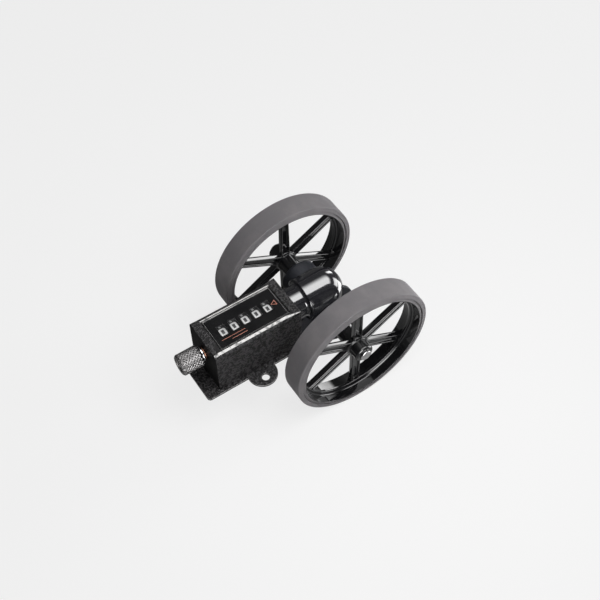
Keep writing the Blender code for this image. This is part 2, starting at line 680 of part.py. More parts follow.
def base_outline():
    """Return the base plate's outline: a rectangle with round corners and an ear on each side."""
    near = -FLANGE_RADIUS - BASE_TO_FLANGE
    far = CASE_END - BASE_OVERHANG
    corner = BASE_HALF_WIDTH - BASE_CORNER
    start = math.acos((BASE_HALF_WIDTH - EAR_CENTRE) / EAR_RADIUS)
    quarter = math.pi / 2
    right = arc((corner, far + BASE_CORNER), BASE_CORNER, -quarter, 0, 3)
    right += arc((EAR_CENTRE, EAR_PLACE), EAR_RADIUS, -start, start, EAR_STEPS)
    right += arc((corner, near - BASE_CORNER), BASE_CORNER, 0, quarter, 3)
    left = [(-x, y) for x, y in reversed(right)]
    return right + left


def base_plate(parent):
    """Make the plate that closes the hood from below, with a fixing hole in each ear."""
    plate = prism("base_plate", base_outline(), BASE_TOP - BASE_THICKNESS, BASE_TOP, "wrinkle_black", parent)
    for word, side in (("left", -1), ("right", 1)):
        centre = (side * EAR_HOLE_PLACE, EAR_PLACE)
        hole = arc(centre, EAR_HOLE_RADIUS, 0, math.tau, HUB_SEGMENTS)[:-1]
        low = BASE_TOP - BASE_THICKNESS - CUT_OVERRUN
        cut(plate, prism(f"ear_hole_{word}_cutter", hole, low, BASE_TOP + CUT_OVERRUN, None, parent))


def mechanism_frame(parent, pinion_axis):
    """Make the U-shaped frame that carries the shafts, and the pinions' fixed shaft."""
    foot = BASE_TOP + CLEARANCE
    near = FRAME_NEAR + FRAME_SHEET
    far = FRAME_FAR - FRAME_SHEET
    block = ((-FRAME_HALF_WIDTH, far, foot), (FRAME_HALF_WIDTH, near, FRAME_ABOVE_SHAFT))
    frame = blocks("mechanism_frame", [block], "bright_steel", parent)
    reach = FRAME_HALF_WIDTH + CUT_OVERRUN
    inside = ((-reach, FRAME_FAR, foot + FRAME_SHEET), (reach, FRAME_NEAR, FRAME_ABOVE_SHAFT + CUT_OVERRUN))
    cut(frame, blocks("frame_inside_cutter", [inside], None, parent))
    start = far - CUT_OVERRUN
    end = near + CUT_OVERRUN
    holes = (("shaft_hole", SHAFT_BORE, parent), ("pinion_hole", PINION_BORE, pinion_axis))
    for name, radius, axis in holes:
        cut(frame, plain_rod(f"{name}_cutter", "Y", start, end, radius, SHAFT_SEGMENTS, None, axis))
    shaft = ("pinion_shaft", "Y", far, near, PINION_SHAFT_RADIUS)
    plain_rod(*shaft, SHAFT_SEGMENTS, "bright_steel", pinion_axis)


def number_wheel(index, parent):
    """Make one number wheel; all but the last carry a gear, and all but the first a lock disc."""
    first = index == 0
    last = index == FIGURE_COUNT - 1
    place = FIRST_FIGURE + index * FIGURE_PITCH
    half = NUMBER_WIDTH / 2
    near = place + half if last else place + half + TRANSFER_GEAR_WIDTH
    far = place - half if first else place - half - LOCK_DISC_WIDTH
    profile = [(place + half, 0), (place + half, NUMBER_RADIUS), (place - half, NUMBER_RADIUS)]
    if not first:
        profile += [(place - half, LOCK_DISC_RADIUS), (far, LOCK_DISC_RADIUS)]
    profile += [(far, 0)]
    name = f"number_wheel_{index + 1}"
    wheel = turned(name, profile, "Y", NUMBER_SEGMENTS, "number_black", parent)
    if not last:
        points = tooth_points(
            TRANSFER_GEAR_TEETH,
            TRANSFER_GEAR_RADIUS,
            TRANSFER_THICKNESS,
            TRANSFER_ADDENDUM,
            TRANSFER_DEDENDUM,
            math.tan(PRESSURE_ANGLE),
            0,
        )
        root = place + half - CLEARANCE
        unite(wheel, toothed(f"{name}_gear_form", "Y", points, root, near, 0, 1, None, parent))
    bore(wheel, "Y", far, near, SHAFT_BORE, parent)


def transfer_pinion(index, parent):
    """Make the pinion between one number wheel and the next, in mesh with the first one's gear."""
    middle = FIRST_FIGURE + (index + 0.5) * FIGURE_PITCH
    half = FIGURE_GAP / 2 - CLEARANCE
    points = tooth_points(
        PINION_TEETH,
        PINION_RADIUS,
        TRANSFER_THICKNESS,
        TRANSFER_ADDENDUM,
        TRANSFER_DEDENDUM,
        math.tan(PRESSURE_ANGLE),
        math.pi / PINION_TEETH,
    )
    name = f"transfer_pinion_{index + 1}"
    pinion = toothed(name, "Y", points, middle - half, middle + half, 0, 1, "nylon_white", parent)
    bore(pinion, "Y", middle - half, middle + half, PINION_BORE, parent)


def input_drive(parent):
    """Make the input shaft and its gear, which has a tooth space over the axle gear's tooth."""
    end = BEARING_BOSS_START + BEARING_DEPTH - CLEARANCE
    shaft = ("input_shaft", "Y", LAST_FIGURE, end, NUMBER_SHAFT_RADIUS, CLEARANCE)
    rod(*shaft, SHAFT_SEGMENTS, "bright_steel", parent)
    flank = math.tan(PRESSURE_ANGLE) / math.cos(INPUT_GEAR_HELIX)
    thickness = GEAR_TOOTH_THICKNESS / math.cos(INPUT_GEAR_HELIX)
    points = tooth_points(
        INPUT_GEAR_TEETH,
        INPUT_GEAR_RADIUS,
        thickness,
        GEAR_ADDENDUM,
        GEAR_DEDENDUM,
        flank,
        math.pi + math.pi / INPUT_GEAR_TEETH,
    )
    lead = math.tau * INPUT_GEAR_RADIUS / math.tan(INPUT_GEAR_HELIX)
    half = INPUT_GEAR_WIDTH / 2
    gear = toothed("input_gear", "Y", points, -half, half, lead, INPUT_GEAR_LAYERS, "brass", parent)
    bore(gear, "Y", -half, half, SHAFT_BORE, parent)


def reset_drive(parent):
    """Make the reset shaft, its bush in the end wall, the collar and the knurled knob."""
    shank_end = CASE_END + CASE_WALL
    flange_end = BUSH_FACE - KNOB_BUSH_FLANGE
    bush = [
        (shank_end, SHAFT_BORE),
        (shank_end, KNOB_BUSH_SHANK_RADIUS),
        (BUSH_FACE, KNOB_BUSH_SHANK_RADIUS),
        (BUSH_FACE, KNOB_BUSH_RADIUS),
        (flange_end, KNOB_BUSH_RADIUS),
        (flange_end, SHAFT_BORE),
    ]
    turned("knob_bush", bush, "Y", HUB_SEGMENTS, "brass", parent)
    collar = (COLLAR_FACE, COLLAR_FACE - COLLAR_WIDTH, COLLAR_RADIUS, SHAFT_BORE)
    sleeve("knob_collar", "Y", *collar, HUB_SEGMENTS, "bright_steel", parent)
    shaft_end = LAST_FIGURE - CLEARANCE
    shaft = ("reset_shaft", "Y", KNOB_END + KNOB_CHAMFER, shaft_end, NUMBER_SHAFT_RADIUS, CLEARANCE)
    rod(*shaft, SHAFT_SEGMENTS, "bright_steel", parent)
    knurled_knob(parent)


def knurled_knob(parent):
    """Make the knob, whose diamonds come from a grid of points that lie high and low in turn."""
    shape = bmesh.new()
    knurl_start = KNOB_FACE - KNOB_CHAMFER
    knurl_length = KNOB_LENGTH - 2 * KNOB_CHAMFER
    rings = [(KNOB_FACE, SHAFT_BORE, 0), (KNOB_FACE, KNOB_RADIUS - KNOB_CHAMFER, 0)]
    for row in range(KNURL_ROWS + 1):
        rings.append((knurl_start - knurl_length * row / KNURL_ROWS, KNOB_RADIUS, row % 2 + 1))
    rings += [(KNOB_END, KNOB_RADIUS - KNOB_CHAMFER, 0), (KNOB_END, SHAFT_BORE, 0)]
    made = []
    for along, radius, knurl in rings:
        ring = []
        for k in range(KNURL_COLUMNS):
            low = knurl > 0 and (k + knurl) % 2 == 0
            depth = KNURL_DEPTH if low else 0
            ring.append(shape.verts.new(on_axis("Y", along, radius - depth, math.tau * k / KNURL_COLUMNS)))
        made.append(ring)
    for ring, following in zip(made, made[1:] + made[:1]):
        bridge(shape, ring, following)
    solid("reset_knob", shape, "knob_silver", parent)


def build():
    """Build the whole counter and set it down on its lowest point."""
    clear_scene()
    middle = -(TYRE_RADIUS + KNOB_END) / 2
    origin = empty("counter_origin", (0, middle, TYRE_RADIUS))
    axle_axis = empty("axle_axis", (0, 0, 0), origin)
    number_axis = empty("number_axis", (0, 0, SHAFT_HEIGHT), origin)
    pinion_axis = empty("pinion_axis", (0, 0, -PINION_DROP), number_axis)
    axle_assembly(axle_axis)
    axle_housing(axle_axis, number_axis)
    gear_case(axle_axis, number_axis)
    counter_case(number_axis)
    base_plate(number_axis)
    mechanism_frame(number_axis, pinion_axis)
    for index in range(FIGURE_COUNT):
        number_wheel(index, number_axis)
    for index in range(FIGURE_COUNT - 1):
        transfer_pinion(index, pinion_axis)
    input_drive(number_axis)
    reset_drive(number_axis)


if __name__ == "__main__":
    build()
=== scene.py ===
"""Looks of a cable length counter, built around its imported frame.

Two spoked measuring wheels share one axle, a gear head stands over it, and a hood with
five figures and a knurled reset knob runs out from the head. Each sub-assembly is a class
that holds its sizes, builds its meshes and dresses them. Lengths are in metres, +X runs
along the axle, +Y from the knob to the gear head's dome, and +Z up.
"""

import json
import logging
import math
from dataclasses import dataclass
from enum import Enum
from typing import Any

import bmesh
import bpy
from mathutils import Matrix, Vector


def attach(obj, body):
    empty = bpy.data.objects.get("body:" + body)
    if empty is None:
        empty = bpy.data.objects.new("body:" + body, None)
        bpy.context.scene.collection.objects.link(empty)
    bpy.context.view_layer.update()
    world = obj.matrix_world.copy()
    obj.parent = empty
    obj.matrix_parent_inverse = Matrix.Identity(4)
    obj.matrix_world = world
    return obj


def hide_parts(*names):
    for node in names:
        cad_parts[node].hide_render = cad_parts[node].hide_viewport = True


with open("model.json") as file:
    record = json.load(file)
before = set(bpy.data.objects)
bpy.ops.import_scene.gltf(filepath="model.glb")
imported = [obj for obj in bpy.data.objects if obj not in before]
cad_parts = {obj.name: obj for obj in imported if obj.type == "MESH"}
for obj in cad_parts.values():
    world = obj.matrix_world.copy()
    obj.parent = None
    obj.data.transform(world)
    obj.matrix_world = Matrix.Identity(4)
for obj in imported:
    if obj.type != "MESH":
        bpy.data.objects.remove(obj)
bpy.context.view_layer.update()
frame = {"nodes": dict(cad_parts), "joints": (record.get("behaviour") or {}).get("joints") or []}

LOG = logging.getLogger("length_counter")
MM = 0.001
# The room left between pieces that lie against each other.
GAP = 0.3 * MM
# How far a cutter reaches past what it cuts.
BEYOND = 2 * MM
# How much of an edge one rounded corner may take up.
EDGE_SHARE = 0.49
# The layers of a cloudy pattern, from smooth to detailed.
PLAIN, SOFT, FINE, RICH = 1.0, 2.0, 3.0, 4.0
PLACES = {joint["name"]: Vector(joint["pos_m"]) for joint in frame["joints"]}
AXLE = PLACES["axle_spin"]
SHAFT = PLACES["input_spin"]
QUARTER = math.pi / 2
HIDDEN = "hidden_form"

Point = tuple[float, float]
Spot = tuple[float, float, float]
Colour = tuple[float, float, float]
Thing = bpy.types.Object


class Axis(Enum):
    """The direction that a turned piece runs along."""

    ACROSS = "X"
    ALONG = "Y"
    UP = "Z"


class Side(Enum):
    """The two ends of the axle."""

    LEFT = -1
    RIGHT = 1

    @property
    def word(self) -> str:
        """Return the side as the end of a piece's name."""
        return self.name.lower()


class Change(Enum):
    """What one form does to another."""

    CUT = "DIFFERENCE"
    ADD = "UNION"


class Wire:
    """A socket of a node tree, with the arithmetic that shaders need."""

    def __init__(self, sheet: "NodeSheet", socket: bpy.types.NodeSocket) -> None:
        """Hold the socket and the sheet that it belongs to."""
        self.sheet = sheet
        self.socket = socket

    def _math(self, operation: str, first: Any, second: Any) -> "Wire":
        """Add a Math node over two values."""
        return self.sheet.node("ShaderNodeMath", {"operation": operation}, {0: first, 1: second})

    def __add__(self, other: Any) -> "Wire":
        """Add a value."""
        return self._math("ADD", self, other)

    def __radd__(self, other: Any) -> "Wire":
        """Add this to a value."""
        return self._math("ADD", other, self)

    def __sub__(self, other: Any) -> "Wire":
        """Take a value away."""
        return self._math("SUBTRACT", self, other)

    def __rsub__(self, other: Any) -> "Wire":
        """Take this away from a value."""
        return self._math("SUBTRACT", other, self)

    def __mul__(self, other: Any) -> "Wire":
        """Multiply by a value."""
        return self._math("MULTIPLY", self, other)

    def __rmul__(self, other: Any) -> "Wire":
        """Multiply a value by this."""
        return self._math("MULTIPLY", other, self)


class NodeSheet:
    """The node tree of one material or of the world."""

    def __init__(self, tree: bpy.types.NodeTree) -> None:
        """Start with an empty tree."""
        self.tree = tree
        tree.nodes.clear()

    def node(
        self,
        kind: str,
        settings: dict[str, Any] | None = None,
        values: dict[Any, Any] | None = None,
        output: str | int | None = 0,
    ) -> Wire | None:
        """Add any node.

        Args:
            kind: The node's type.
            settings: Its own settings, which are set first.
            values: The values or the wires of its input sockets.
            output: The socket that is wanted from it, or None for the tree's end.

        Returns:
            The wire of that output.
        """
        made = self.tree.nodes.new(kind)
        for name, setting in (settings or {}).items():
            setattr(made, name, setting)
        for name, value in (values or {}).items():
            if isinstance(value, Wire):
                self.tree.links.new(value.socket, made.inputs[name])
            else:
                made.inputs[name].default_value = value
        return None if output is None else Wire(self, made.outputs[output])

    def place(self) -> Wire:
        """Return the point on the surface, in metres from the piece's own origin."""
        return self.node("ShaderNodeTexCoord", output="Object")

    def vector(self, operation: str, first: Any, second: Any, output: str = "Vector") -> Wire:
        """Work on two vectors.

        Args:
            operation: The Vector Math node's operation.
            first: A vector or its wire.
            second: Another one.
            output: Vector, or Value for a length or a product.

        Returns:
            The wire of the result.
        """
        return self.node("ShaderNodeVectorMath", {"operation": operation}, {0: first, 1: second}, output)

    def along(self, axis: Axis, vector: Wire | None = None) -> Wire:
        """Return a vector's part along an axis, or the surface point's if none is given."""
        keep = {Axis.ACROSS: (1.0, 0.0, 0.0), Axis.ALONG: (0.0, 1.0, 0.0), Axis.UP: (0.0, 0.0, 1.0)}
        return self.vector("DOT_PRODUCT", vector or self.place(), keep[axis], "Value")

    def mix(self, mask: Any, first: Any, second: Any) -> Wire:
        """Blend two colours.

        Args:
            mask: 0 for the first colour, 1 for the second.
            first: A colour of three numbers or its wire.
            second: Another one.

        Returns:
            The wire of the blended colour.
        """
        ends = [end if isinstance(end, Wire) else (*end, 1.0) for end in (first, second)]
        return self.node("ShaderNodeMix", {"data_type": "RGBA"}, {0: mask, 6: ends[0], 7: ends[1]}, 2)

    def span(self, value: Wire, low: float, high: float) -> Wire:
        """Turn the stretch of a value between two ends into a smooth 0 to 1."""
        settings = {"interpolation_type": "SMOOTHSTEP"}
        return self.node("ShaderNodeMapRange", settings, {0: value, 1: low, 2: high})

    def weigh(self, first: Wire, second: Wire, share: float) -> Wire:
        """Return a sum of two values, of which the first has a share and the second the rest."""
        return first * share + second * (1.0 - share)

    def blend(self, mask: Any, first: Wire, second: Wire) -> Wire:
        """Return one shader where a mask is 0 and another where it is 1."""
        return self.node("ShaderNodeMixShader", values={0: mask, 1: first, 2: second})

    def noise(self, size: float, detail: float = SOFT, place: Wire | None = None) -> Wire:
        """Return a cloudy pattern.

        Args:
            size: The size of its largest features, in metres.
            detail: How many finer layers it has.
            place: The point that it is read at, the surface point if none is given.

        Returns:
            The wire of a value round one half.
        """
        values = {"Vector": place or self.place(), "Scale": 1 / size, "Detail": detail}
        return self.node("ShaderNodeTexNoise", values=values)

    def turning(self, axis: Axis) -> Wire:
        """Return a point that runs along an axis and out from it, for marks left by turning."""
        cross = (0.0, 1.0, 1.0) if axis is Axis.ACROSS else (1.0, 0.0, 1.0)
        flat = self.vector("MULTIPLY", self.place(), cross)
        out = self.vector("LENGTH", flat, (0.0, 0.0, 0.0), "Value")
        return self.node("ShaderNodeCombineXYZ", values={0: self.along(axis), 1: out})

    def bump(self, height: Wire, depth: float, under: Wire | None = None) -> Wire:
        """Return a normal raised by a height.

        Args:
            height: The wire of a height from 0 to 1.
            depth: What a height of 1 is, in metres.
            under: The normal of a coarser bump that this one lies on.

        Returns:
            The wire of the normal.
        """
        values = {"Height": height, "Distance": depth, "Strength": 1.0}
        if under:
            values["Normal"] = under
        return self.node("ShaderNodeBump", values=values)


def scaled(colour: Colour, share: float) -> Colour:
    """Return a colour made darker or paler."""
    return tuple(share * part for part in colour)


@dataclass(frozen=True)
class Finish:
    """A plain moulded surface, and what every other finish starts from.

    The cloud and the grain are the sizes of its patterns, the swing is how far its roughness goes
    either way, and the middle is the pattern's value where the roughness is the one given.
    """

    name: str
    colour: Colour
    roughness: float
    metallic: float = 0.0
    coat: float = 0.0
    coat_roughness: float = 0.04
    specular: float = 0.5
    shade_share: float = 0.75
    cloud: float = 3 * MM
    grain: float = 0.4 * MM
    grain_depth: float = 0.01 * MM
    swing: float = 0.2
    middle: float = 0.5

    def uneven(self, pattern: Wire) -> Wire:
        """Return the roughness, which swings with a pattern about the pattern's middle."""
        return pattern * self.swing + (self.roughness - self.middle * self.swing)

    def surface(self, sheet: NodeSheet) -> dict[str, Wire]:
        """Return the sockets that vary over the surface, with their wires."""
        cloud = sheet.noise(self.cloud, FINE)
        return {
            "Base Color": sheet.mix(cloud, scaled(self.colour, self.shade_share), self.colour),
            "Roughness": self.uneven(cloud),
            "Normal": sheet.bump(sheet.noise(self.grain), self.grain_depth),
        }

    def material(self) -> bpy.types.Material:
        """Return the finish as a material, made on its first use."""
        made = bpy.data.materials.get(self.name)
        if made:
            return made
        made = bpy.data.materials.new(self.name)
        made.use_nodes = True
        sheet = NodeSheet(made.node_tree)
        values = {
            "Base Color": (*self.colour, 1.0),
            "Roughness": self.roughness,
            "Metallic": self.metallic,
            "Coat Weight": self.coat,
            "Coat Roughness": self.coat_roughness,
            "Specular IOR Level": self.specular,
        }
        values.update(self.surface(sheet))
        shader = sheet.node("ShaderNodeBsdfPrincipled", values=values)
        sheet.node("ShaderNodeOutputMaterial", values={"Surface": shader}, output=None)
        return made


@dataclass(frozen=True)
class TyreRubber(Finish):
    """Grey rubber with a fine grain, rubbed paler in patches."""

    cloud: float = 14 * MM
    grain: float = 0.35 * MM
    grain_depth: float = 0.02 * MM
    swing: float = 0.16
    cloud_share: float = 0.7
    rubbed: Colour = (0.19, 0.18, 0.185)
    rubbed_ends: Point = (0.42, 0.68)

    def surface(self, sheet: NodeSheet) -> dict[str, Wire]:
        """Return the sockets that vary over the rubber, with their wires."""
        cloud, grain = sheet.noise(self.cloud, RICH), sheet.noise(self.grain, FINE)
        rubbed = sheet.span(sheet.weigh(cloud, grain, self.cloud_share), *self.rubbed_ends)
        return {
            "Base Color": sheet.mix(rubbed, self.colour, self.rubbed),
            "Roughness": self.uneven(cloud),
            "Normal": sheet.bump(grain, self.grain_depth),
        }


@dataclass(frozen=True)
class GlossBlack(Finish):
    """Glossy black, whose reflections wave a little, with a film of dust in places."""

    cloud: float = 11 * MM
    grain: float = 0.7 * MM
    grain_depth: float = 0.003 * MM
    swing: float = 0.12
    middle: float = 0.0
    wave: float = 6 * MM
    wave_depth: float = 0.05 * MM
    film: Colour = (0.03, 0.029, 0.032)
    film_share: float = 0.5
    film_ends: Point = (0.5, 0.8)

    def surface(self, sheet: NodeSheet) -> dict[str, Wire]:
        """Return the sockets that vary over the gloss, with their wires."""
        film = sheet.span(sheet.noise(self.cloud, RICH), *self.film_ends)
        waves = sheet.bump(sheet.noise(self.wave, PLAIN), self.wave_depth)
        return {
            "Base Color": sheet.mix(film * self.film_share, self.colour, self.film),
            "Roughness": self.uneven(film),
            "Normal": sheet.bump(sheet.noise(self.grain), self.grain_depth, waves),
        }


@dataclass(frozen=True)
class CastPaint(Finish):
    """Matt paint over a casting's fine rough skin."""

    cloud: float = 7 * MM
    cloud_depth: float = 0.25 * MM
    grain: float = 0.9 * MM
    grain_depth: float = 0.07 * MM
    cloud_share: float = 0.6
    pale_share: float = 1.5
    pale_ends: Point = (0.35, 0.7)

    def surface(self, sheet: NodeSheet) -> dict[str, Wire]:
        """Return the sockets that vary over the casting, with their wires."""
        cloud, skin = sheet.noise(self.cloud, RICH), sheet.noise(self.grain, RICH)
        pale = sheet.span(sheet.weigh(cloud, skin, self.cloud_share), *self.pale_ends)
        return {
            "Base Color": sheet.mix(pale, self.colour, scaled(self.colour, self.pale_share)),
            "Roughness": self.uneven(skin),
            "Normal": sheet.bump(skin, self.grain_depth, sheet.bump(cloud, self.cloud_depth)),
        }


@dataclass(frozen=True)
class WrinklePaint(Finish):
    """Black wrinkle paint: close worm-like ridges that catch the light, with their crests coloured paler as a
    painted highlight.
    """

    swing: float = -0.12
    middle: float = 0.0
    painted_crest_highlight: Colour = (0.056, 0.054, 0.056)
    wrinkle: float = 1.5 * MM
    ridge_ends: Point = (0.44, 0.6)
    depth: float = 0.25 * MM

    def surface(self, sheet: NodeSheet) -> dict[str, Wire]:
        """Return the sockets that vary over the paint, with their wires."""
        ridge = sheet.span(sheet.noise(self.wrinkle, PLAIN), *self.ridge_ends)
        return {
            # Paler crests: a painted highlight where the ridges would catch the light.
            "Base Color": sheet.mix(ridge, self.colour, self.painted_crest_highlight),
            "Roughness": self.uneven(ridge),
            "Normal": sheet.bump(ridge, self.depth),
        }


@dataclass(frozen=True)
class WornEdge(Finish):
    """The paint of a sharp edge, rubbed through to bright metal along its length."""

    grain: float = 1.7 * MM
    grain_depth: float = 0.03 * MM
    swing: float = -0.12
    middle: float = 0.0
    bare: Colour = (0.15, 0.148, 0.146)
    bare_metallic: float = 0.8
    patch: float = 2.4 * MM
    patch_ends: Point = (0.3, 0.5)

    def surface(self, sheet: NodeSheet) -> dict[str, Wire]:
        """Return the sockets that vary along the edge, with their wires."""
        bare = sheet.span(sheet.noise(self.patch, RICH), *self.patch_ends)
        return {
            "Base Color": sheet.mix(bare, self.colour, self.bare),
            "Metallic": bare * self.bare_metallic,
            "Roughness": self.uneven(bare),
            "Normal": sheet.bump(sheet.noise(self.grain), self.grain_depth),
        }


@dataclass(frozen=True)
class TurnedMetal(Finish):
    """Bright metal with the fine rings that a lathe leaves."""

    axis: Axis = Axis.ALONG
    cloud: float = 4 * MM
    grain: float = 0.16 * MM
    grain_depth: float = 0.008 * MM
    swing: float = 0.16
    shade_share: float = 0.7
    ring_share: float = 0.5
    shade_ends: Point = (0.3, 0.6)

    def surface(self, sheet: NodeSheet) -> dict[str, Wire]:
        """Return the sockets that vary over the metal, with their wires."""
        rings, cloud = sheet.noise(self.grain, SOFT, sheet.turning(self.axis)), sheet.noise(self.cloud, FINE)
        light = sheet.span(sheet.weigh(rings, cloud, self.ring_share), *self.shade_ends)
        return {
            "Base Color": sheet.mix(light, scaled(self.colour, self.shade_share), self.colour),
            "Roughness": self.uneven(cloud),
            "Normal": sheet.bump(rings, self.grain_depth),
        }


@dataclass(frozen=True)
class SatinPlate(Finish):
    """Black plate, brushed along its length under a thin satin coat."""

    cloud: float = 9 * MM
    grain_depth: float = 0.004 * MM
    swing: float = 0.14
    stroke: Spot = (1 / (0.12 * MM), 1 / (6 * MM), 1 / (0.12 * MM))
    line_share: float = 0.6
    pale_share: float = 1.7

    def surface(self, sheet: NodeSheet) -> dict[str, Wire]:
        """Return the sockets that vary over the plate, with their wires."""
        drawn = sheet.vector("MULTIPLY", sheet.place(), self.stroke)
        lines, cloud = sheet.noise(1.0, SOFT, drawn), sheet.noise(self.cloud, FINE)
        pale = sheet.weigh(lines, cloud, self.line_share)
        return {
            "Base Color": sheet.mix(pale, self.colour, scaled(self.colour, self.pale_share)),
            "Roughness": self.uneven(cloud),
            "Normal": sheet.bump(lines, self.grain_depth),
        }


@dataclass(frozen=True)
class ClearPane(Finish):
    """A clear pane that only shows where it mirrors the light."""

    cloud: float = 5 * MM
    swing: float = 0.1
    middle: float = 0.0
    clear: float = 0.02
    hazy: float = 0.06
    haze_ends: Point = (0.45, 0.8)

    def surface(self, sheet: NodeSheet) -> dict[str, Wire]:
        """Return the sockets that vary over the pane, with their wires."""
        haze = sheet.span(sheet.noise(self.cloud, RICH), *self.haze_ends)
        return {"Alpha": haze * (self.hazy - self.clear) + self.clear, "Roughness": self.uneven(haze)}


RUBBER = TyreRubber("tyre_rubber", (0.15, 0.143, 0.15), 0.72)
WHEEL_GLOSS = GlossBlack("wheel_gloss", (0.008, 0.008, 0.009), 0.1, coat=1.0, specular=0.1)
HEAD_GLOSS = GlossBlack(
    "head_gloss", (0.024, 0.024, 0.028), 0.12, coat=1.0, wave=12 * MM, wave_depth=0.03 * MM
)
HOUSING_PAINT = CastPaint("housing_paint", (0.012, 0.0128, 0.016), 0.5, specular=0.3)
WRINKLE = WrinklePaint("wrinkle_paint", (0.006, 0.0057, 0.006), 0.45, specular=0.22)
# Darker, duller paint for the hood's faces that look toward -Y, away from the light: painted shade.
END_PAINTED_SHADE = Finish("end_painted_shade", (0.004, 0.0038, 0.004), 0.6, specular=0.1)
EDGE = WornEdge("worn_edge", (0.03, 0.029, 0.03), 0.45)
STEEL_ALONG = TurnedMetal("steel_along", (0.6, 0.6, 0.61), 0.24, metallic=1.0)
STEEL_ACROSS = TurnedMetal("steel_across", (0.66, 0.65, 0.66), 0.18, metallic=1.0, axis=Axis.ACROSS)
# A darker copy of the brass: painted shade for the bush that sits between the knob's collar and the hood's
# end.
BRASS_ALONG_PAINTED_SHADE = TurnedMetal("brass_along_painted_shade", (0.22, 0.11, 0.075), 0.4, metallic=1.0)
BRASS_ACROSS = TurnedMetal("brass_across", (0.6, 0.4, 0.18), 0.28, metallic=1.0, axis=Axis.ACROSS)
KNOB_METAL = TurnedMetal("knob_metal", (0.2, 0.195, 0.195), 0.5, metallic=1.0)
PLATE = SatinPlate("label_satin", (0.0065, 0.0065, 0.007), 0.18, specular=0.35)
PANE = ClearPane("clear_pane_finish", (0.8, 0.82, 0.84), 0.05)
DRUM = Finish("drum_black", (0.012, 0.012, 0.013), 0.42)
WHITE_INK = Finish("figure_white", (0.95, 0.95, 0.95), 0.45, shade_share=0.94)
ORANGE_INK = Finish("print_orange", (0.72, 0.3, 0.22), 0.5)
NYLON = Finish("natural_nylon", (0.7, 0.68, 0.6), 0.45)
SHEET_STEEL = Finish("sheet_steel", (0.5, 0.5, 0.51), 0.35, metallic=1.0)


def rounded(corners: list[Spot], steps: int = 4, closed: bool = True) -> list[Point]:
    """Round the corners of an outline.

    Args:
        corners: Points, each with the radius that it is rounded to.
        steps: How many edges a rounded corner has.
        closed: False for a line, whose ends stay as they are.

    Returns:
        The points of the rounded outline.
    """
    points: list[Point] = []
    for k, (x, y, radius) in enumerate(corners):
        if radius <= 0 or (not closed and k in (0, len(corners) - 1)):
            points.append((x, y))
            continue
        here = Vector((x, y))
        before = Vector(corners[k - 1][:2]) - here
        after = Vector(corners[(k + 1) % len(corners)][:2]) - here
        half = before.angle(after) / 2
        reach = min(radius / math.tan(half), EDGE_SHARE * before.length, EDGE_SHARE * after.length)
        towards = before.normalized() + after.normalized()
        centre = here + towards.normalized() * (reach / math.cos(half))
        start = here + before.normalized() * reach - centre
        end = here + after.normalized() * reach - centre
        turn = math.atan2(start.x * end.y - start.y * end.x, start.dot(end))
        for step in range(steps + 1):
            part = turn * step / steps
            sine, cosine = math.sin(part), math.cos(part)
            spoke = (start.x * cosine - start.y * sine, start.x * sine + start.y * cosine)
            points.append((centre.x + spoke[0], centre.y + spoke[1]))
    return points


def box_outline(low: Point, high: Point, radius: float) -> list[Point]:
    """Return a rectangle with rounded corners."""
    corners = [(low[0], low[1]), (high[0], low[1]), (high[0], high[1]), (low[0], high[1])]
    return rounded([(x, y, radius) for x, y in corners])


def arc(centre: Point, radius: float, start: float, end: float, steps: int = 40) -> list[Point]:
    """Return the points of an arc between two angles, both ends among them."""
    turns = [start + (end - start) * k / steps for k in range(steps + 1)]
    return [(centre[0] + radius * math.cos(turn), centre[1] + radius * math.sin(turn)) for turn in turns]


def spun(axis: Axis, along: float, radius: float, angle: float) -> Spot:
    """Return a point at a radius and a right-handed angle about an axis."""
    near, far = radius * math.cos(angle), radius * math.sin(angle)
    if axis is Axis.ACROSS:
        return (along, near, far)
    if axis is Axis.ALONG:
        return (far, along, near)
    return (near, far, along)


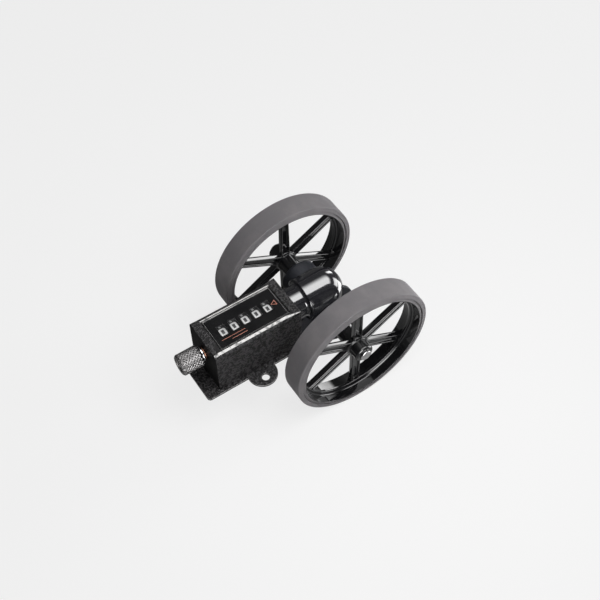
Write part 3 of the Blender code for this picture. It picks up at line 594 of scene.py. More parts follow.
class Form:
    """A closed mesh in the making, measured from the place that it is put at."""

    def __init__(self) -> None:
        """Start with no faces."""
        self.shape = bmesh.new()

    def skin(self, rings: list[list[Spot]], looped: bool = False) -> "Form":
        """Stretch faces over a row of rings.

        Args:
            rings: Rings of as many points each; one on an axis may be a single point.
            looped: True if the last ring meets the first, else both ends are closed.

        Returns:
            The form itself.
        """
        made = [[self.shape.verts.new(spot) for spot in ring] for ring in rings]
        following = made[1:] + made[:1] if looped else made[1:]
        for first, second in zip(made, following):
            count = max(len(first), len(second))
            for k in range(count if count > 1 else 0):
                onward = (k + 1) % count
                corners = [first[k % len(first)], first[onward % len(first)]]
                corners += [second[onward % len(second)], second[k % len(second)]]
                self.shape.faces.new(list(dict.fromkeys(corners)))
        if not looped:
            for ring in (made[0], made[-1]):
                if len(ring) > 1:
                    self.shape.faces.new(ring)
        return self

    def turned(self, axis: Axis, profile: list[Point], segments: int, hollow: bool = True) -> "Form":
        """Turn a profile about an axis.

        Args:
            axis: The axis.
            profile: Points of a place along the axis and a radius.
            segments: How many faces go once round.
            hollow: True if the profile is a closed loop that stays clear of the axis.

        Returns:
            The form itself.
        """
        rings = []
        for along, radius in profile:
            count = segments if radius > 0 else 1
            rings.append([spun(axis, along, radius, math.tau * k / segments) for k in range(count)])
        return self.skin(rings, hollow)

    def raised(self, outline: list[Point], low: float, high: float) -> "Form":
        """Raise an outline in the XY plane from one height to another."""
        return self.skin([[(x, y, z) for x, y in outline] for z in (low, high)])

    def rod(self, start: float, end: float, radius: float, segments: int) -> "Form":
        """Stretch a plain rod along Y, to cut with."""
        line = [(start, 0.0), (start, radius), (end, radius), (end, 0.0)]
        return self.turned(Axis.ALONG, line, segments, hollow=False)

    def piece(self, name: str, at: Vector) -> Thing:
        """Turn the form into an object.

        Args:
            name: The object's name.
            at: Where its origin is.

        Returns:
            The object.
        """
        bmesh.ops.recalc_face_normals(self.shape, faces=self.shape.faces)
        mesh = bpy.data.meshes.new(name)
        self.shape.to_mesh(mesh)
        self.shape.free()
        made = bpy.data.objects.new(name, mesh)
        bpy.context.scene.collection.objects.link(made)
        made.location = at
        return made


def settle(piece: Thing) -> None:
    """Turn a piece's modifiers into its mesh."""
    bpy.context.view_layer.update()
    graph = bpy.context.evaluated_depsgraph_get()
    mesh = bpy.data.meshes.new_from_object(piece.evaluated_get(graph))
    before = piece.data
    piece.modifiers.clear()
    piece.data = mesh
    bpy.data.meshes.remove(before)


def reshape(piece: Thing, change: Change, forms: list[Form], at: Vector | None = None) -> None:
    """Cut forms from a piece or add them to it.

    Args:
        piece: The piece that changes.
        change: Whether the forms are cut away or added.
        forms: The forms, which are used up.
        at: Where the forms are measured from, the piece's own origin if not given.
    """
    tools = [form.piece(HIDDEN, at or piece.location) for form in forms]
    for tool in tools:
        step = piece.modifiers.new(tool.name, "BOOLEAN")
        step.operation = change.value
        step.solver = "EXACT"
        step.object = tool
    settle(piece)
    for tool in tools:
        bpy.data.objects.remove(tool, do_unlink=True)


def coat(piece: Thing, *finishes: Finish) -> None:
    """Give a piece one material slot for each finish, in order."""
    for finish in finishes:
        piece.data.materials.append(finish.material())


def soften(piece: Thing, width: float, above: float = 40.0, material: int = -1) -> None:
    """Bevel a piece's sharp edges.

    Args:
        piece: The piece.
        width: The bevel's width in metres.
        above: The angle in degrees from which an edge is sharp.
        material: The material slot that the new faces get, or -1 for their neighbours'.
    """
    step = piece.modifiers.new("soft_edges", "BEVEL")
    step.width = width
    step.segments = 2
    step.limit_method = "ANGLE"
    step.angle_limit = math.radians(above)
    step.material = material
    step.miter_outer = "MITER_ARC"
    settle(piece)


@dataclass(frozen=True)
class Fit:
    """Where a piece belongs: its body, its material slot and its finish."""

    body: str
    slot: str
    finish: Finish

    def dress(self, piece: Thing, stands_for: str = "", sharp: float = 32.0) -> Thing:
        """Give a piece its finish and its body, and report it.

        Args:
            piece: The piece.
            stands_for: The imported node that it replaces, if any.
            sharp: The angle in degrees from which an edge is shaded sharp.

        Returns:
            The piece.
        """
        if not piece.data.materials:
            coat(piece, self.finish)
        piece.data.shade_smooth()
        piece.data.set_sharp_from_angle(angle=math.radians(sharp))
        step = piece.modifiers.new("flat_faces_stay_flat", "WEIGHTED_NORMAL")
        step.keep_sharp = True
        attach(piece, self.body)
        if stands_for:
            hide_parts(stands_for)
        LOG.info("%s: %d faces on %s", piece.name, len(piece.data.polygons), self.body)
        return piece


@dataclass
class MeasuringWheel:
    """One wheel: a tyre on a spoked rim, with its hub and the nut that holds it."""

    side: Side
    place: float = 45.2 * MM
    width: float = 17.5 * MM
    tyre_radius: float = 53.046 * MM
    tyre_edge: float = 0.75 * MM
    rim_radius: float = 49.246 * MM
    rim_inner: float = 46.846 * MM
    rib_radius: float = 44.046 * MM
    rib_half: float = 1.2 * MM
    rib_shift: float = 0.6 * MM
    spoke_shift: float = 1.0 * MM
    spoke_count: int = 6
    spoke_root: float = 7.4 * MM
    spoke_tip: float = 6.2 * MM
    spoke_depth: float = 4.6 * MM
    spoke_wall: float = 1.4 * MM
    near_lip: float = 1.05 * MM
    far_lip: float = 0.3 * MM
    far_slope: float = 1.6 * MM
    far_drop: float = 0.58 * MM
    inner_lip: float = 0.7 * MM
    web_fillet: float = 0.8 * MM
    side_step: float = 0.45 * MM
    side_slope: float = 0.4 * MM
    side_crest: float = 50.0 * MM
    side_flat: float = 51.6 * MM
    rim_step: float = 0.8 * MM
    rim_crest: float = 47.4 * MM
    hub_radius: float = 7.0 * MM
    disc_radius: float = 8.6 * MM
    hub_start: float = 28.4 * MM
    hub_end: float = 55.0 * MM
    bore: float = 2.8 * MM
    nut_radius: float = 4.2 * MM
    nut_height: float = 2.0 * MM
    nut_crown: float = 0.55
    nut_edge: float = 0.2 * MM
    nut_shoulder: float = 0.9 * MM
    nut_bend: float = 0.5 * MM
    nut_top: float = 0.8 * MM
    crest_edge: float = 0.3 * MM
    flat_edge: float = 0.8 * MM
    rim_edge: float = 0.4 * MM
    seat_edge: float = 0.15 * MM
    rim_mouth: float = 1.2 * MM
    rim_back: float = 0.8 * MM
    rib_fillet: float = 1.4 * MM
    rib_edge: float = 0.6 * MM
    hub_edge: float = 0.6 * MM
    hub_mouth: float = 1.8 * MM
    disc_edge: float = 1.0 * MM
    spoke_overlap: float = 1.0 * MM
    flare_length: float = 4.0 * MM
    flare_width: float = 5.0 * MM
    rubber_facing: float = 0.7
    sharp_angle: float = 38.0
    section_steps: int = 3
    flare_steps: int = 7
    nut_steps: int = 5
    segments: int = 144
    hub_segments: int = 64
    nut_segments: int = 48

    def outward(self, corners: list[Spot], steps: int = 4) -> list[Point]:
        """Return a rounded profile that runs outward on this wheel's side."""
        return [(self.side.value * along, radius) for along, radius in rounded(corners, steps)]

    def tyre(self) -> None:
        """Build the rubber tyre."""
        inner, outer = self.place - self.width / 2, self.place + self.width / 2
        seat = self.rim_radius + GAP
        profile = []
        for face, way in ((inner, 1), (outer, -1)):
            wall = [
                (face, seat, 0),
                (face, self.side_crest, self.crest_edge),
                (face + way * self.side_slope, self.side_flat, self.flat_edge),
                (face + way * self.side_step, self.tyre_radius, self.tyre_edge),
            ]
            profile += wall[::way]
        form = Form().turned(Axis.ACROSS, self.outward(profile), self.segments)
        piece = form.piece(f"tyre_{self.side.word}_rubber", AXLE)
        Fit("measuring_wheels", "tyre_grey", RUBBER).dress(piece, f"tyre_{self.side.word}")

    def rim(self) -> Form:
        """Return the rim with the rib inside it."""
        inner, outer = self.place - self.width / 2, self.place + self.width / 2
        rib = self.place + self.rib_shift
        low, high = rib - self.rib_half, rib + self.rib_half
        profile = [
            (inner, self.rim_crest, self.rim_edge),
            (inner + self.rim_step, self.rim_radius, self.seat_edge),
            (outer - self.rim_step, self.rim_radius, self.seat_edge),
            (outer, self.rim_crest, self.rim_edge),
            (outer, self.rim_inner, self.rim_mouth),
            (high, self.rim_inner, self.rib_fillet),
            (high, self.rib_radius, self.rib_edge),
            (low, self.rib_radius, self.rib_edge),
            (low, self.rim_inner, self.rib_fillet),
            (inner, self.rim_inner, self.rim_back),
        ]
        return Form().turned(Axis.ACROSS, self.outward(profile), self.segments)

    def spoke_section(self, width: float) -> list[Point]:
        """Return an H section: two flanges along the axle, with sloping far lips, joined by a web."""
        half, edge, web = width / 2, self.spoke_depth / 2, self.spoke_wall / 2
        inside = half - self.spoke_wall
        near = [
            (edge, -half, self.near_lip),
            (edge, -inside, self.inner_lip),
            (web, -inside, self.web_fillet),
        ]
        far = [
            (-web, -inside, self.web_fillet),
            (-edge, -inside, self.inner_lip),
            (-edge, self.far_drop - half, self.far_lip),
            (self.far_slope - edge, -half, self.near_lip),
        ]
        outline = near + [(x, -y, radius) for x, y, radius in reversed(near)]
        outline += [(x, -y, radius) for x, y, radius in reversed(far)] + far
        return rounded(outline, self.section_steps)

    def spoke(self, turn: float) -> Form:
        """Return one spoke, which flares smoothly where it runs into the rim."""
        start, end = self.disc_radius - self.spoke_overlap, self.rim_inner + self.spoke_overlap
        flare_start, steps = self.rib_radius - self.flare_length, self.flare_steps
        flared = [flare_start + (end - flare_start) * k / steps for k in range(steps + 1)]
        rings = []
        for height in [start] + flared:
            flare = max(0.0, (height - flare_start) / (end - flare_start))
            width = self.spoke_root + (self.spoke_tip - self.spoke_root) * (height - start) / (end - start)
            width += self.flare_width * flare * flare * flare
            centre = self.side.value * (self.place - self.spoke_shift)
            ring = []
            for x, y in self.spoke_section(width):
                sine, cosine = math.sin(turn), math.cos(turn)
                ring.append((centre + x, y * cosine + height * sine, height * cosine - y * sine))
            rings.append(ring)
        return Form().skin(rings)

    def hub(self) -> Form:
        """Return the hub with the disc that carries the spokes."""
        plane, half = self.place - self.spoke_shift, self.spoke_depth / 2
        profile = [
            (self.hub_start, self.bore, 0),
            (self.hub_start, self.hub_radius, self.hub_edge),
            (plane - half, self.hub_radius, self.hub_edge),
            (plane - half, self.disc_radius, self.disc_edge),
            (plane + half, self.disc_radius, self.disc_edge),
            (plane + half, self.hub_radius, self.hub_edge),
            (self.hub_end, self.hub_radius, self.hub_mouth),
            (self.hub_end, self.bore, 0),
        ]
        return Form().turned(Axis.ACROSS, self.outward(profile), self.hub_segments)

    def moulding(self) -> None:
        """Build the rim, spokes and hub as one moulding, with rubber over the rim's side faces."""
        piece = self.rim().piece(f"wheel_{self.side.word}_moulding", AXLE)
        turns = [math.tau * k / self.spoke_count for k in range(self.spoke_count)]
        reshape(piece, Change.ADD, [self.hub()] + [self.spoke(turn) for turn in turns])
        coat(piece, WHEEL_GLOSS, RUBBER)
        for face in piece.data.polygons:
            out = math.hypot(face.center.y, face.center.z)
            if out > self.rim_crest and abs(face.normal.x) > self.rubber_facing:
                face.material_index = 1
        fit = Fit("measuring_wheels", "wheel_black", WHEEL_GLOSS)
        fit.dress(piece, f"wheel_{self.side.word}", self.sharp_angle)

    def nut(self) -> None:
        """Build the domed nut on the axle's end."""
        face = self.hub_end + GAP
        crown = face + self.nut_height
        line = [
            (face, 0, 0),
            (face, self.nut_radius, self.nut_edge),
            (crown - self.nut_shoulder, self.nut_radius, self.nut_bend),
            (crown, self.nut_radius * self.nut_crown, self.nut_top),
            (crown, 0, 0),
        ]
        crowned = rounded(line, self.nut_steps, closed=False)
        outward = [(self.side.value * along, radius) for along, radius in crowned]
        form = Form().turned(Axis.ACROSS, outward, self.nut_segments, hollow=False)
        piece = form.piece(f"nut_{self.side.word}_dome", AXLE)
        Fit("measuring_wheels", "bright_steel", STEEL_ACROSS).dress(piece, f"hub_nut_{self.side.word}")

    def build(self) -> None:
        """Build the whole wheel."""
        self.tyre()
        self.moulding()
        self.nut()


@dataclass
class GearHead:
    """The domed case over the crossed gears, with its neck."""

    radius: float = 15.4 * MM
    wall: float = 2.5 * MM
    step: float = 15.5 * MM
    dome_centre: float = 1.3 * MM
    neck_radius: float = 12.0 * MM
    neck_end: float = -25.75 * MM
    neck_bore: float = 4.9 * MM
    neck_flare: float = 2.4 * MM
    axle_hole: float = 3.6 * MM
    gear_room: float = 8.0 * MM
    gear_room_half: float = 6.0 * MM
    rear_wall: float = 2.0 * MM
    lip_soft: float = 0.5 * MM
    lip_fine: float = 0.15 * MM
    seam: float = 0.05 * MM
    dome_steps: int = 24
    bore_steps: int = 12
    flare_steps: int = 8
    way_segments: int = 48
    segments: int = 112

    def dome(self, radius: float, steps: int) -> list[Point]:
        """Return the dome's profile at a radius, from its widest ring to its tip."""
        turns = [QUARTER * k / steps for k in range(steps)]
        rings = [(self.dome_centre + radius * math.sin(turn), radius * math.cos(turn)) for turn in turns]
        return rings + [(self.dome_centre + radius, 0.0)]

    def outline(self, grown: float = 0.0) -> list[Point]:
        """Return the head's outer profile from its step to the dome's tip, grown all round."""
        radius = self.radius + grown
        front = -self.step - grown
        soft, fine = self.lip_soft, self.lip_fine
        lip = [(front, radius - soft), (front + fine, radius - fine), (front + soft, radius)]
        return lip + self.dome(radius, self.dome_steps)

    def case(self) -> None:
        """Build the domed case, open below where the axle and its gear run."""
        bore, hole, face = self.radius - self.wall, self.neck_radius + GAP, self.rear_wall - self.step
        profile = [(-self.step, hole)] + self.outline() + self.dome(bore, self.bore_steps)[::-1]
        profile += [(face, bore), (face, hole)]
        piece = Form().turned(Axis.ALONG, profile, self.segments).piece("head_dome", SHAFT)
        reach, pocket = self.radius + BEYOND, self.gear_room_half
        half = [(-reach, self.axle_hole), (-pocket, self.axle_hole), (-pocket, self.gear_room)]
        way = [(-reach, 0.0)] + half + [(-x, radius) for x, radius in reversed(half)] + [(reach, 0.0)]
        cutter = Form().turned(Axis.ACROSS, way, self.way_segments, hollow=False)
        reshape(piece, Change.CUT, [cutter], AXLE)
        Fit("frame", "gloss_black", HEAD_GLOSS).dress(piece, "gear_case")

    def neck(self) -> None:
        """Build the neck between the head and the counter, flared where it meets the head."""
        root, inner, flare = -self.step - self.seam, self.rear_wall - self.step, self.neck_flare
        line = [(self.neck_end, self.neck_bore, 0), (self.neck_end, self.neck_radius, self.lip_soft)]
        profile = rounded(line + [(root - flare, self.neck_radius, 0)], closed=False)
        for turn in [QUARTER * (k + 1) / self.flare_steps for k in range(self.flare_steps)]:
            out = self.neck_radius + flare * (1 - math.cos(turn))
            profile.append((root - flare * (1 - math.sin(turn)), out))
        profile += [(root, self.neck_radius), (inner, self.neck_radius), (inner, self.neck_bore)]
        piece = Form().turned(Axis.ALONG, profile, self.segments).piece("head_neck", SHAFT)
        Fit("frame", "gloss_black", HEAD_GLOSS).dress(piece, "gear_case_neck")

    def build(self) -> None:
        """Build the case and the neck."""
        self.case()
        self.neck()


@dataclass
class AxleHousing:
    """The casting round the axle, which cradles the gear head."""

    tube_radius: float = 13.6 * MM
    tube_half: float = 27.8 * MM
    tube_rounding: float = 2.4 * MM
    flange_radius: float = 21.5 * MM
    flange_start: float = 8.0 * MM
    flange_end: float = 10.5 * MM
    drum_radius: float = 17.5 * MM
    bush_radius: float = 5.3 * MM
    bush_seat: float = 17.5 * MM
    drum_fillet: float = 0.6 * MM
    flange_edge: float = 0.5 * MM
    tube_fillet: float = 1.2 * MM
    bush_edge: float = 0.3 * MM
    saddle_half: float = 10.5 * MM
    saddle_low: float = -23.5 * MM
    saddle_high: float = -8.0 * MM
    saddle_end: float = -12.0 * MM
    saddle_rounding: float = 1.5 * MM
    segments: int = 112

    def build(self) -> None:
        """Build the casting with the saddle under the neck, and cut the head's cradle into it."""
        head = GearHead()
        half = [
            (self.flange_start, self.drum_radius, self.drum_fillet),
            (self.flange_start, self.flange_radius, self.flange_edge),
            (self.flange_end, self.flange_radius, self.flange_edge),
            (self.flange_end, self.tube_radius, self.tube_fillet),
            (self.tube_half, self.tube_radius, self.tube_rounding),
            (self.tube_half, self.bush_radius, self.bush_edge),
            (self.bush_seat, self.bush_radius, 0),
            (self.bush_seat, head.axle_hole, 0),
            (head.gear_room_half, head.axle_hole, 0),
            (head.gear_room_half, head.gear_room, 0),
        ]
        profile = half + [(-x, radius, edge) for x, radius, edge in reversed(half)]
        piece = Form().turned(Axis.ACROSS, rounded(profile), self.segments).piece("housing_casting", AXLE)
        neck, start, front = head.neck_radius + GAP, head.neck_end - GAP, -head.step - GAP
        flare = head.neck_flare
        cradle = [(start, 0.0), (start, neck), (front - flare, neck), (front, neck + flare)]
        cradle += head.outline(GAP)
        wide = self.saddle_half
        rib = box_outline((-wide, head.neck_end), (wide, self.saddle_end), self.saddle_rounding)
        reshape(piece, Change.ADD, [Form().raised(rib, self.saddle_low, self.saddle_high)], SHAFT)
        reshape(piece, Change.CUT, [Form().turned(Axis.ALONG, cradle, self.segments, hollow=False)], SHAFT)
        Fit("frame", "housing_grey", HOUSING_PAINT).dress(piece, "axle_housing")


@dataclass
class CounterHood:
    """The counter's hood with its label plate, window pane and base plate."""

    half_width: float = 17.2 * MM
    start: float = -26.05 * MM
    end: float = -92.5 * MM
    top: float = 14.0 * MM
    bottom: float = -23.5 * MM
    wall: float = 1.6 * MM
    top_wall: float = 3.4 * MM
    slope_start: float = 14.1 * MM
    slope_turn: float = 15.9 * MM
    slope_drop: float = 0.75 * MM
    slope_end: float = 11.9 * MM
    slope_rounding: float = 1.2 * MM
    knob_taper: float = 5.0 * MM
    knob_slope_share: float = 0.85
    head_taper: float = 11.0 * MM
    head_slope_share: float = 0.2
    short_edge: float = 0.4 * MM
    rim_slope: float = 0.8 * MM
    end_slope: float = 0.35 * MM
    frame_width: float = 1.0 * MM
    frame_height: float = 0.3 * MM
    frame_slope: float = 0.75 * MM
    label_half: float = 13.4 * MM
    label_start: float = -32.45 * MM
    label_end: float = -86.1 * MM
    label_top: float = 13.6 * MM
    label_thickness: float = 0.7 * MM
    lens_top: float = 12.6 * MM
    lens_thickness: float = 0.9 * MM
    lens_half: float = 8.4 * MM
    well_half: float = 6.2 * MM
    well_margin: float = 5.4 * MM
    lens_margin: float = 7.6 * MM
    window_half_width: float = 2.9 * MM
    window_half_height: float = 4.2 * MM
    neck_hole: float = 4.9 * MM
    knob_hole: float = 3.9 * MM
    base_thickness: float = 1.7 * MM
    base_half: float = 20.5 * MM
    base_start: float = -22.5 * MM
    base_end: float = -103.0 * MM
    ear_place: float = -61.5 * MM
    ear_centre: float = 22.0 * MM
    ear_radius: float = 10.5 * MM
    hole_place: float = 26.0 * MM
    hole_radius: float = 2.7 * MM
    hole_depth: float = 5.0 * MM
    hole_segments: int = 40
    edge_steps: int = 10
    corner_steps: int = 8
    turn_rounding: float = 1.0 * MM
    top_rounding: float = 2.0 * MM
    room_corner: float = 0.8 * MM
    recess_corner: float = 0.5 * MM
    lens_corner: float = 0.3 * MM
    label_corner: float = 0.4 * MM
    base_corner: float = 2.5 * MM
    base_bevel: float = 0.25 * MM
    fine_bevel: float = 0.1 * MM
    label_bevel: float = 0.08 * MM
    bevel_angle: float = 50.0
    notch_share: float = 0.3
    edge_facing: Point = (0.86, 0.985)
    edge_tilt: float = 0.3
    frame_facing: Point = (0.3, 0.985)
    painted_shade_facing: float = -0.9
    print_sunk: float = 0.02 * MM
    print_proud: float = 0.03 * MM
    mark_outer: tuple[Point, ...] = ((-2.0 * MM, -35.6 * MM), (0.3 * MM, -39.6 * MM), (2.4 * MM, -35.6 * MM))
    mark_inner: tuple[Point, ...] = (
        (-1.35 * MM, -36.0 * MM),
        (0.29 * MM, -38.85 * MM),
        (1.78 * MM, -36.0 * MM),
    )
    rules: tuple[tuple[str, float, float, float], ...] = (
        ("long", 6.9 * MM, -81.6 * MM, -63.7 * MM),
        ("short", 9.2 * MM, -74.7 * MM, -63.3 * MM),
    )
    rule_half: float = 0.16 * MM
    rule_rounding: float = 0.12 * MM

    def shell(self) -> Thing:
        """Return the hood's outside as a solid, whose long top edges slope and run out at the ends."""
        side, small = self.half_width, self.short_edge
        knob, head, notch = self.knob_slope_share, self.head_slope_share, self.notch_share * small
        ends = [
            (self.end, small, knob),
            (self.end + notch, notch, knob),
            (self.end + small, 0.0, knob),
            (self.end + self.knob_taper, 0.0, 1.0),
            (self.start - self.head_taper, 0.0, 1.0),
            (self.start - small, 0.0, head),
            (self.start - notch, notch, head),
            (self.start, small, head),
        ]
        rings = []
        for y, inset, share in ends:
            low = self.top + (self.slope_end - self.top) * share
            near = side + (self.slope_start - side) * share
            across, down = (self.slope_turn - side) * share, self.slope_drop * share
            right = [
                (side, self.bottom, 0),
                (side, low, self.slope_rounding),
                (side + across, self.top - down, self.turn_rounding),
                (near, self.top, self.top_rounding),
            ]
            drawn = []
            for x, z, edge in right + [(-x, z, edge) for x, z, edge in reversed(right)]:
                drawn.append((x - math.copysign(inset, x), z - (inset if z > 0 else 0.0), edge))
            rings.append([(x, y, z) for x, z in rounded(drawn, self.edge_steps)])
        return Form().skin(rings).piece("hood_shell", SHAFT)

    def tray(self, half: float, end: float, start: float, floor: float, brim: float, slope: float) -> Form:
        """Return a shallow tray with sloping walls, as a form to cut with.

        Args:
            half: Half the width of its floor.
            end: Where the floor ends, towards the knob.
            start: Where the floor ends, towards the head.
            floor: The height of the floor.
            brim: The height where the slopes end.
            slope: How wide the slopes of the long sides are.

        Returns:
            The form.
        """
        rings = []
        heights = ((floor, 0.0, 0.0), (brim, slope, self.end_slope), (brim + MM, slope, self.end_slope))
        for height, wide, far in heights:
            outline = box_outline((-half - wide, end - far), (half + wide, start + far), self.recess_corner)
            rings.append([(x, y, height) for x, y in outline])
        return Form().skin(rings)

    def hood(self) -> None:
        """Build the hood, hollow and open below, with its label recess and window ledge."""
        piece = self.shell()
        inside, deep = self.half_width - self.wall, self.bottom - BEYOND
        near, far = self.start - self.wall, self.end + self.wall
        room = box_outline((-inside, far), (inside, near), self.room_corner)
        ceiling, above = self.top - self.top_wall, self.top + BEYOND
        label, lens, well = self.label_half, self.lens_half + GAP, self.well_half
        first, last = FigureDrums().places()[0], FigureDrums().places()[-1]
        recess = box_outline((-label, self.label_end), (label, self.label_start), self.recess_corner)
        margin, inset = self.lens_margin + GAP, self.well_margin
        ledge = box_outline((-lens, first - margin), (lens, last + margin), self.lens_corner)
        opening = box_outline((-well, first - inset), (well, last + inset), self.recess_corner)
        middle = (self.start + self.end) / 2
        cuts = [
            Form().raised(room, deep, ceiling),
            Form().raised(recess, self.lens_top, above),
            self.tray(label, self.label_end, self.label_start, self.label_top, self.top, self.rim_slope),
            Form().raised(ledge, self.lens_top - self.lens_thickness - GAP, above),
            Form().raised(opening, ceiling - BEYOND, above),
            Form().rod(middle, self.start + BEYOND, self.neck_hole, self.hole_segments),
            Form().rod(middle, self.end - BEYOND, self.knob_hole, self.hole_segments),
        ]
        reshape(piece, Change.CUT, cuts)
        coat(piece, WRINKLE, EDGE, END_PAINTED_SHADE)
        soften(piece, self.fine_bevel, self.bevel_angle, 1)
        low, high = self.edge_facing
        for face in piece.data.polygons:
            sloped = low < face.normal.z < high and abs(face.normal.y) < self.edge_tilt
            if sloped and face.center.z > self.slope_end:
                face.material_index = 1
            # Faces that look toward -Y, away from the light, get the darker paint: painted shade.
            elif face.normal.y < self.painted_shade_facing:
                face.material_index = 2
        Fit("frame", "wrinkle_black", WRINKLE).dress(piece, "counter_case")

    def label(self) -> None:
        """Build the label plate with its five windows, sunk inside a raised frame."""
        low = (GAP - self.label_half, self.label_end + GAP)
        high = (self.label_half - GAP, self.label_start - GAP)
        under, top = self.label_top - self.label_thickness, self.label_top
        plate = box_outline(low, high, self.label_corner)
        piece = Form().raised(plate, under, top).piece("label_face", SHAFT)
        windows = []
        for place in FigureDrums().places():
            corner = (-self.window_half_height, place - self.window_half_width)
            opposite = (self.window_half_height, place + self.window_half_width)
            window = box_outline(corner, opposite, self.recess_corner)
            windows.append(Form().raised(window, under - BEYOND, top + BEYOND))
        border = GAP + self.frame_width
        sunk = (self.label_half - border, self.label_end + border, self.label_start - border)
        frame_cut = self.tray(*sunk, top - self.frame_height, top, self.frame_slope)
        reshape(piece, Change.CUT, windows + [frame_cut])
        coat(piece, PLATE, EDGE)
        soften(piece, self.label_bevel, self.bevel_angle, 1)
        for face in piece.data.polygons:
            if self.frame_facing[0] < face.normal.z < self.frame_facing[1]:
                face.material_index = 1
        Fit("frame", "label_black", PLATE).dress(piece, "label_plate")

    def prints(self) -> None:
        """Build the printed marks beside the windows: an outlined triangle and two rules."""
        face = self.label_top - self.frame_height
        low, high = face - self.print_sunk, face + self.print_proud
        mark = Form().raised(self.mark_outer, low, high).piece("print_triangle", SHAFT)
        reshape(mark, Change.CUT, [Form().raised(self.mark_inner, low - BEYOND, high + BEYOND)])
        Fit("frame", "label_black", ORANGE_INK).dress(mark)
        wide = self.rule_half
        for name, x, end, start in self.rules:
            rule = box_outline((x - wide, end), (x + wide, start), self.rule_rounding)
            piece = Form().raised(rule, low, high).piece(f"print_rule_{name}", SHAFT)
            Fit("frame", "label_black", ORANGE_INK).dress(piece)

    def pane(self) -> None:
        """Build the clear pane under the windows."""
        first, last = FigureDrums().places()[0], FigureDrums().places()[-1]
        low, high = (-self.lens_half, first - self.lens_margin), (self.lens_half, last + self.lens_margin)
        outline, top = box_outline(low, high, self.lens_corner), self.lens_top
        piece = Form().raised(outline, top - self.lens_thickness, top).piece("window_pane", SHAFT)
        soften(piece, self.fine_bevel)
        Fit("frame", "clear_pane", PANE).dress(piece, "window_lens")

    def base(self) -> None:
        """Build the base plate with its two ears."""
        half, corner, steps = self.base_half, self.base_corner, self.corner_steps
        turn = math.acos((half - self.ear_centre) / self.ear_radius)
        right = rounded([(0, self.base_end, 0), (half, self.base_end, corner), (half, 0, 0)], steps)[1:-1]
        right += arc((self.ear_centre, self.ear_place), self.ear_radius, -turn, turn)
        start = [(half, self.ear_place, 0), (half, self.base_start, corner), (0, self.base_start, 0)]
        right += rounded(start, steps)[1:-1]
        outline = right + [(-x, y) for x, y in reversed(right)]
        top = self.bottom - GAP
        piece = Form().raised(outline, top - self.base_thickness, top).piece("base_flange", SHAFT)
        holes = []
        for side in Side:
            centre = (side.value * self.hole_place, self.ear_place)
            circle = arc(centre, self.hole_radius, 0.0, math.tau)[:-1]
            holes.append(Form().raised(circle, top - self.hole_depth, top + BEYOND))
        reshape(piece, Change.CUT, holes)
        coat(piece, WRINKLE, EDGE)
        soften(piece, self.base_bevel, self.bevel_angle, 1)
        Fit("frame", "wrinkle_black", WRINKLE).dress(piece, "base_plate")

    def build(self) -> None:
        """Build the hood and what it carries."""
        self.hood()
        self.label()
        self.prints()
        self.pane()
        self.base()


STROKES: dict[int, list[tuple[bool, list[Spot]]]] = {
    0: [(True, [(0, 0, 1), (1, 0, 1), (1, 1, 1), (0, 1, 1)])],
    1: [(False, [(0.12, 0.78, 0), (0.55, 1, 0), (0.55, 0, 0)])],
    2: [(False, [(0, 0.8, 0), (0, 1, 1), (1, 1, 1), (1, 0.55, 1), (0, 0.05, 0.4), (0, 0, 0), (1, 0, 0)])],
    3: [
        (False, [(0, 1, 0), (1, 1, 1), (1, 0.52, 0.8), (0.35, 0.52, 0)]),
        (False, [(0.6, 0.52, 0), (1, 0.52, 0.8), (1, 0, 1), (0, 0, 0)]),
    ],
    4: [(False, [(0.78, 0, 0), (0.78, 1, 0), (0, 0.3, 0), (1, 0.3, 0)])],
    5: [(False, [(1, 1, 0), (0.05, 1, 0), (0.05, 0.56, 0), (1, 0.56, 1), (1, 0, 1), (0, 0, 0)])],
    6: [(False, [(0.95, 1, 0), (0, 1, 1), (0, 0, 1), (1, 0, 1), (1, 0.56, 1), (0, 0.56, 0)])],
    7: [(False, [(0, 1, 0), (1, 1, 0), (0.4, 0, 0)])],
    8: [
        (True, [(0, 0, 1), (1, 0, 1), (1, 0.52, 0.8), (0, 0.52, 0.8)]),
        (True, [(0.05, 0.52, 0.8), (0.95, 0.52, 0.8), (0.95, 1, 1), (0.05, 1, 1)]),
    ],
    9: [(False, [(0.05, 0, 0), (1, 0, 1), (1, 1, 1), (0, 1, 1), (0, 0.44, 1), (1, 0.44, 0)])],
}


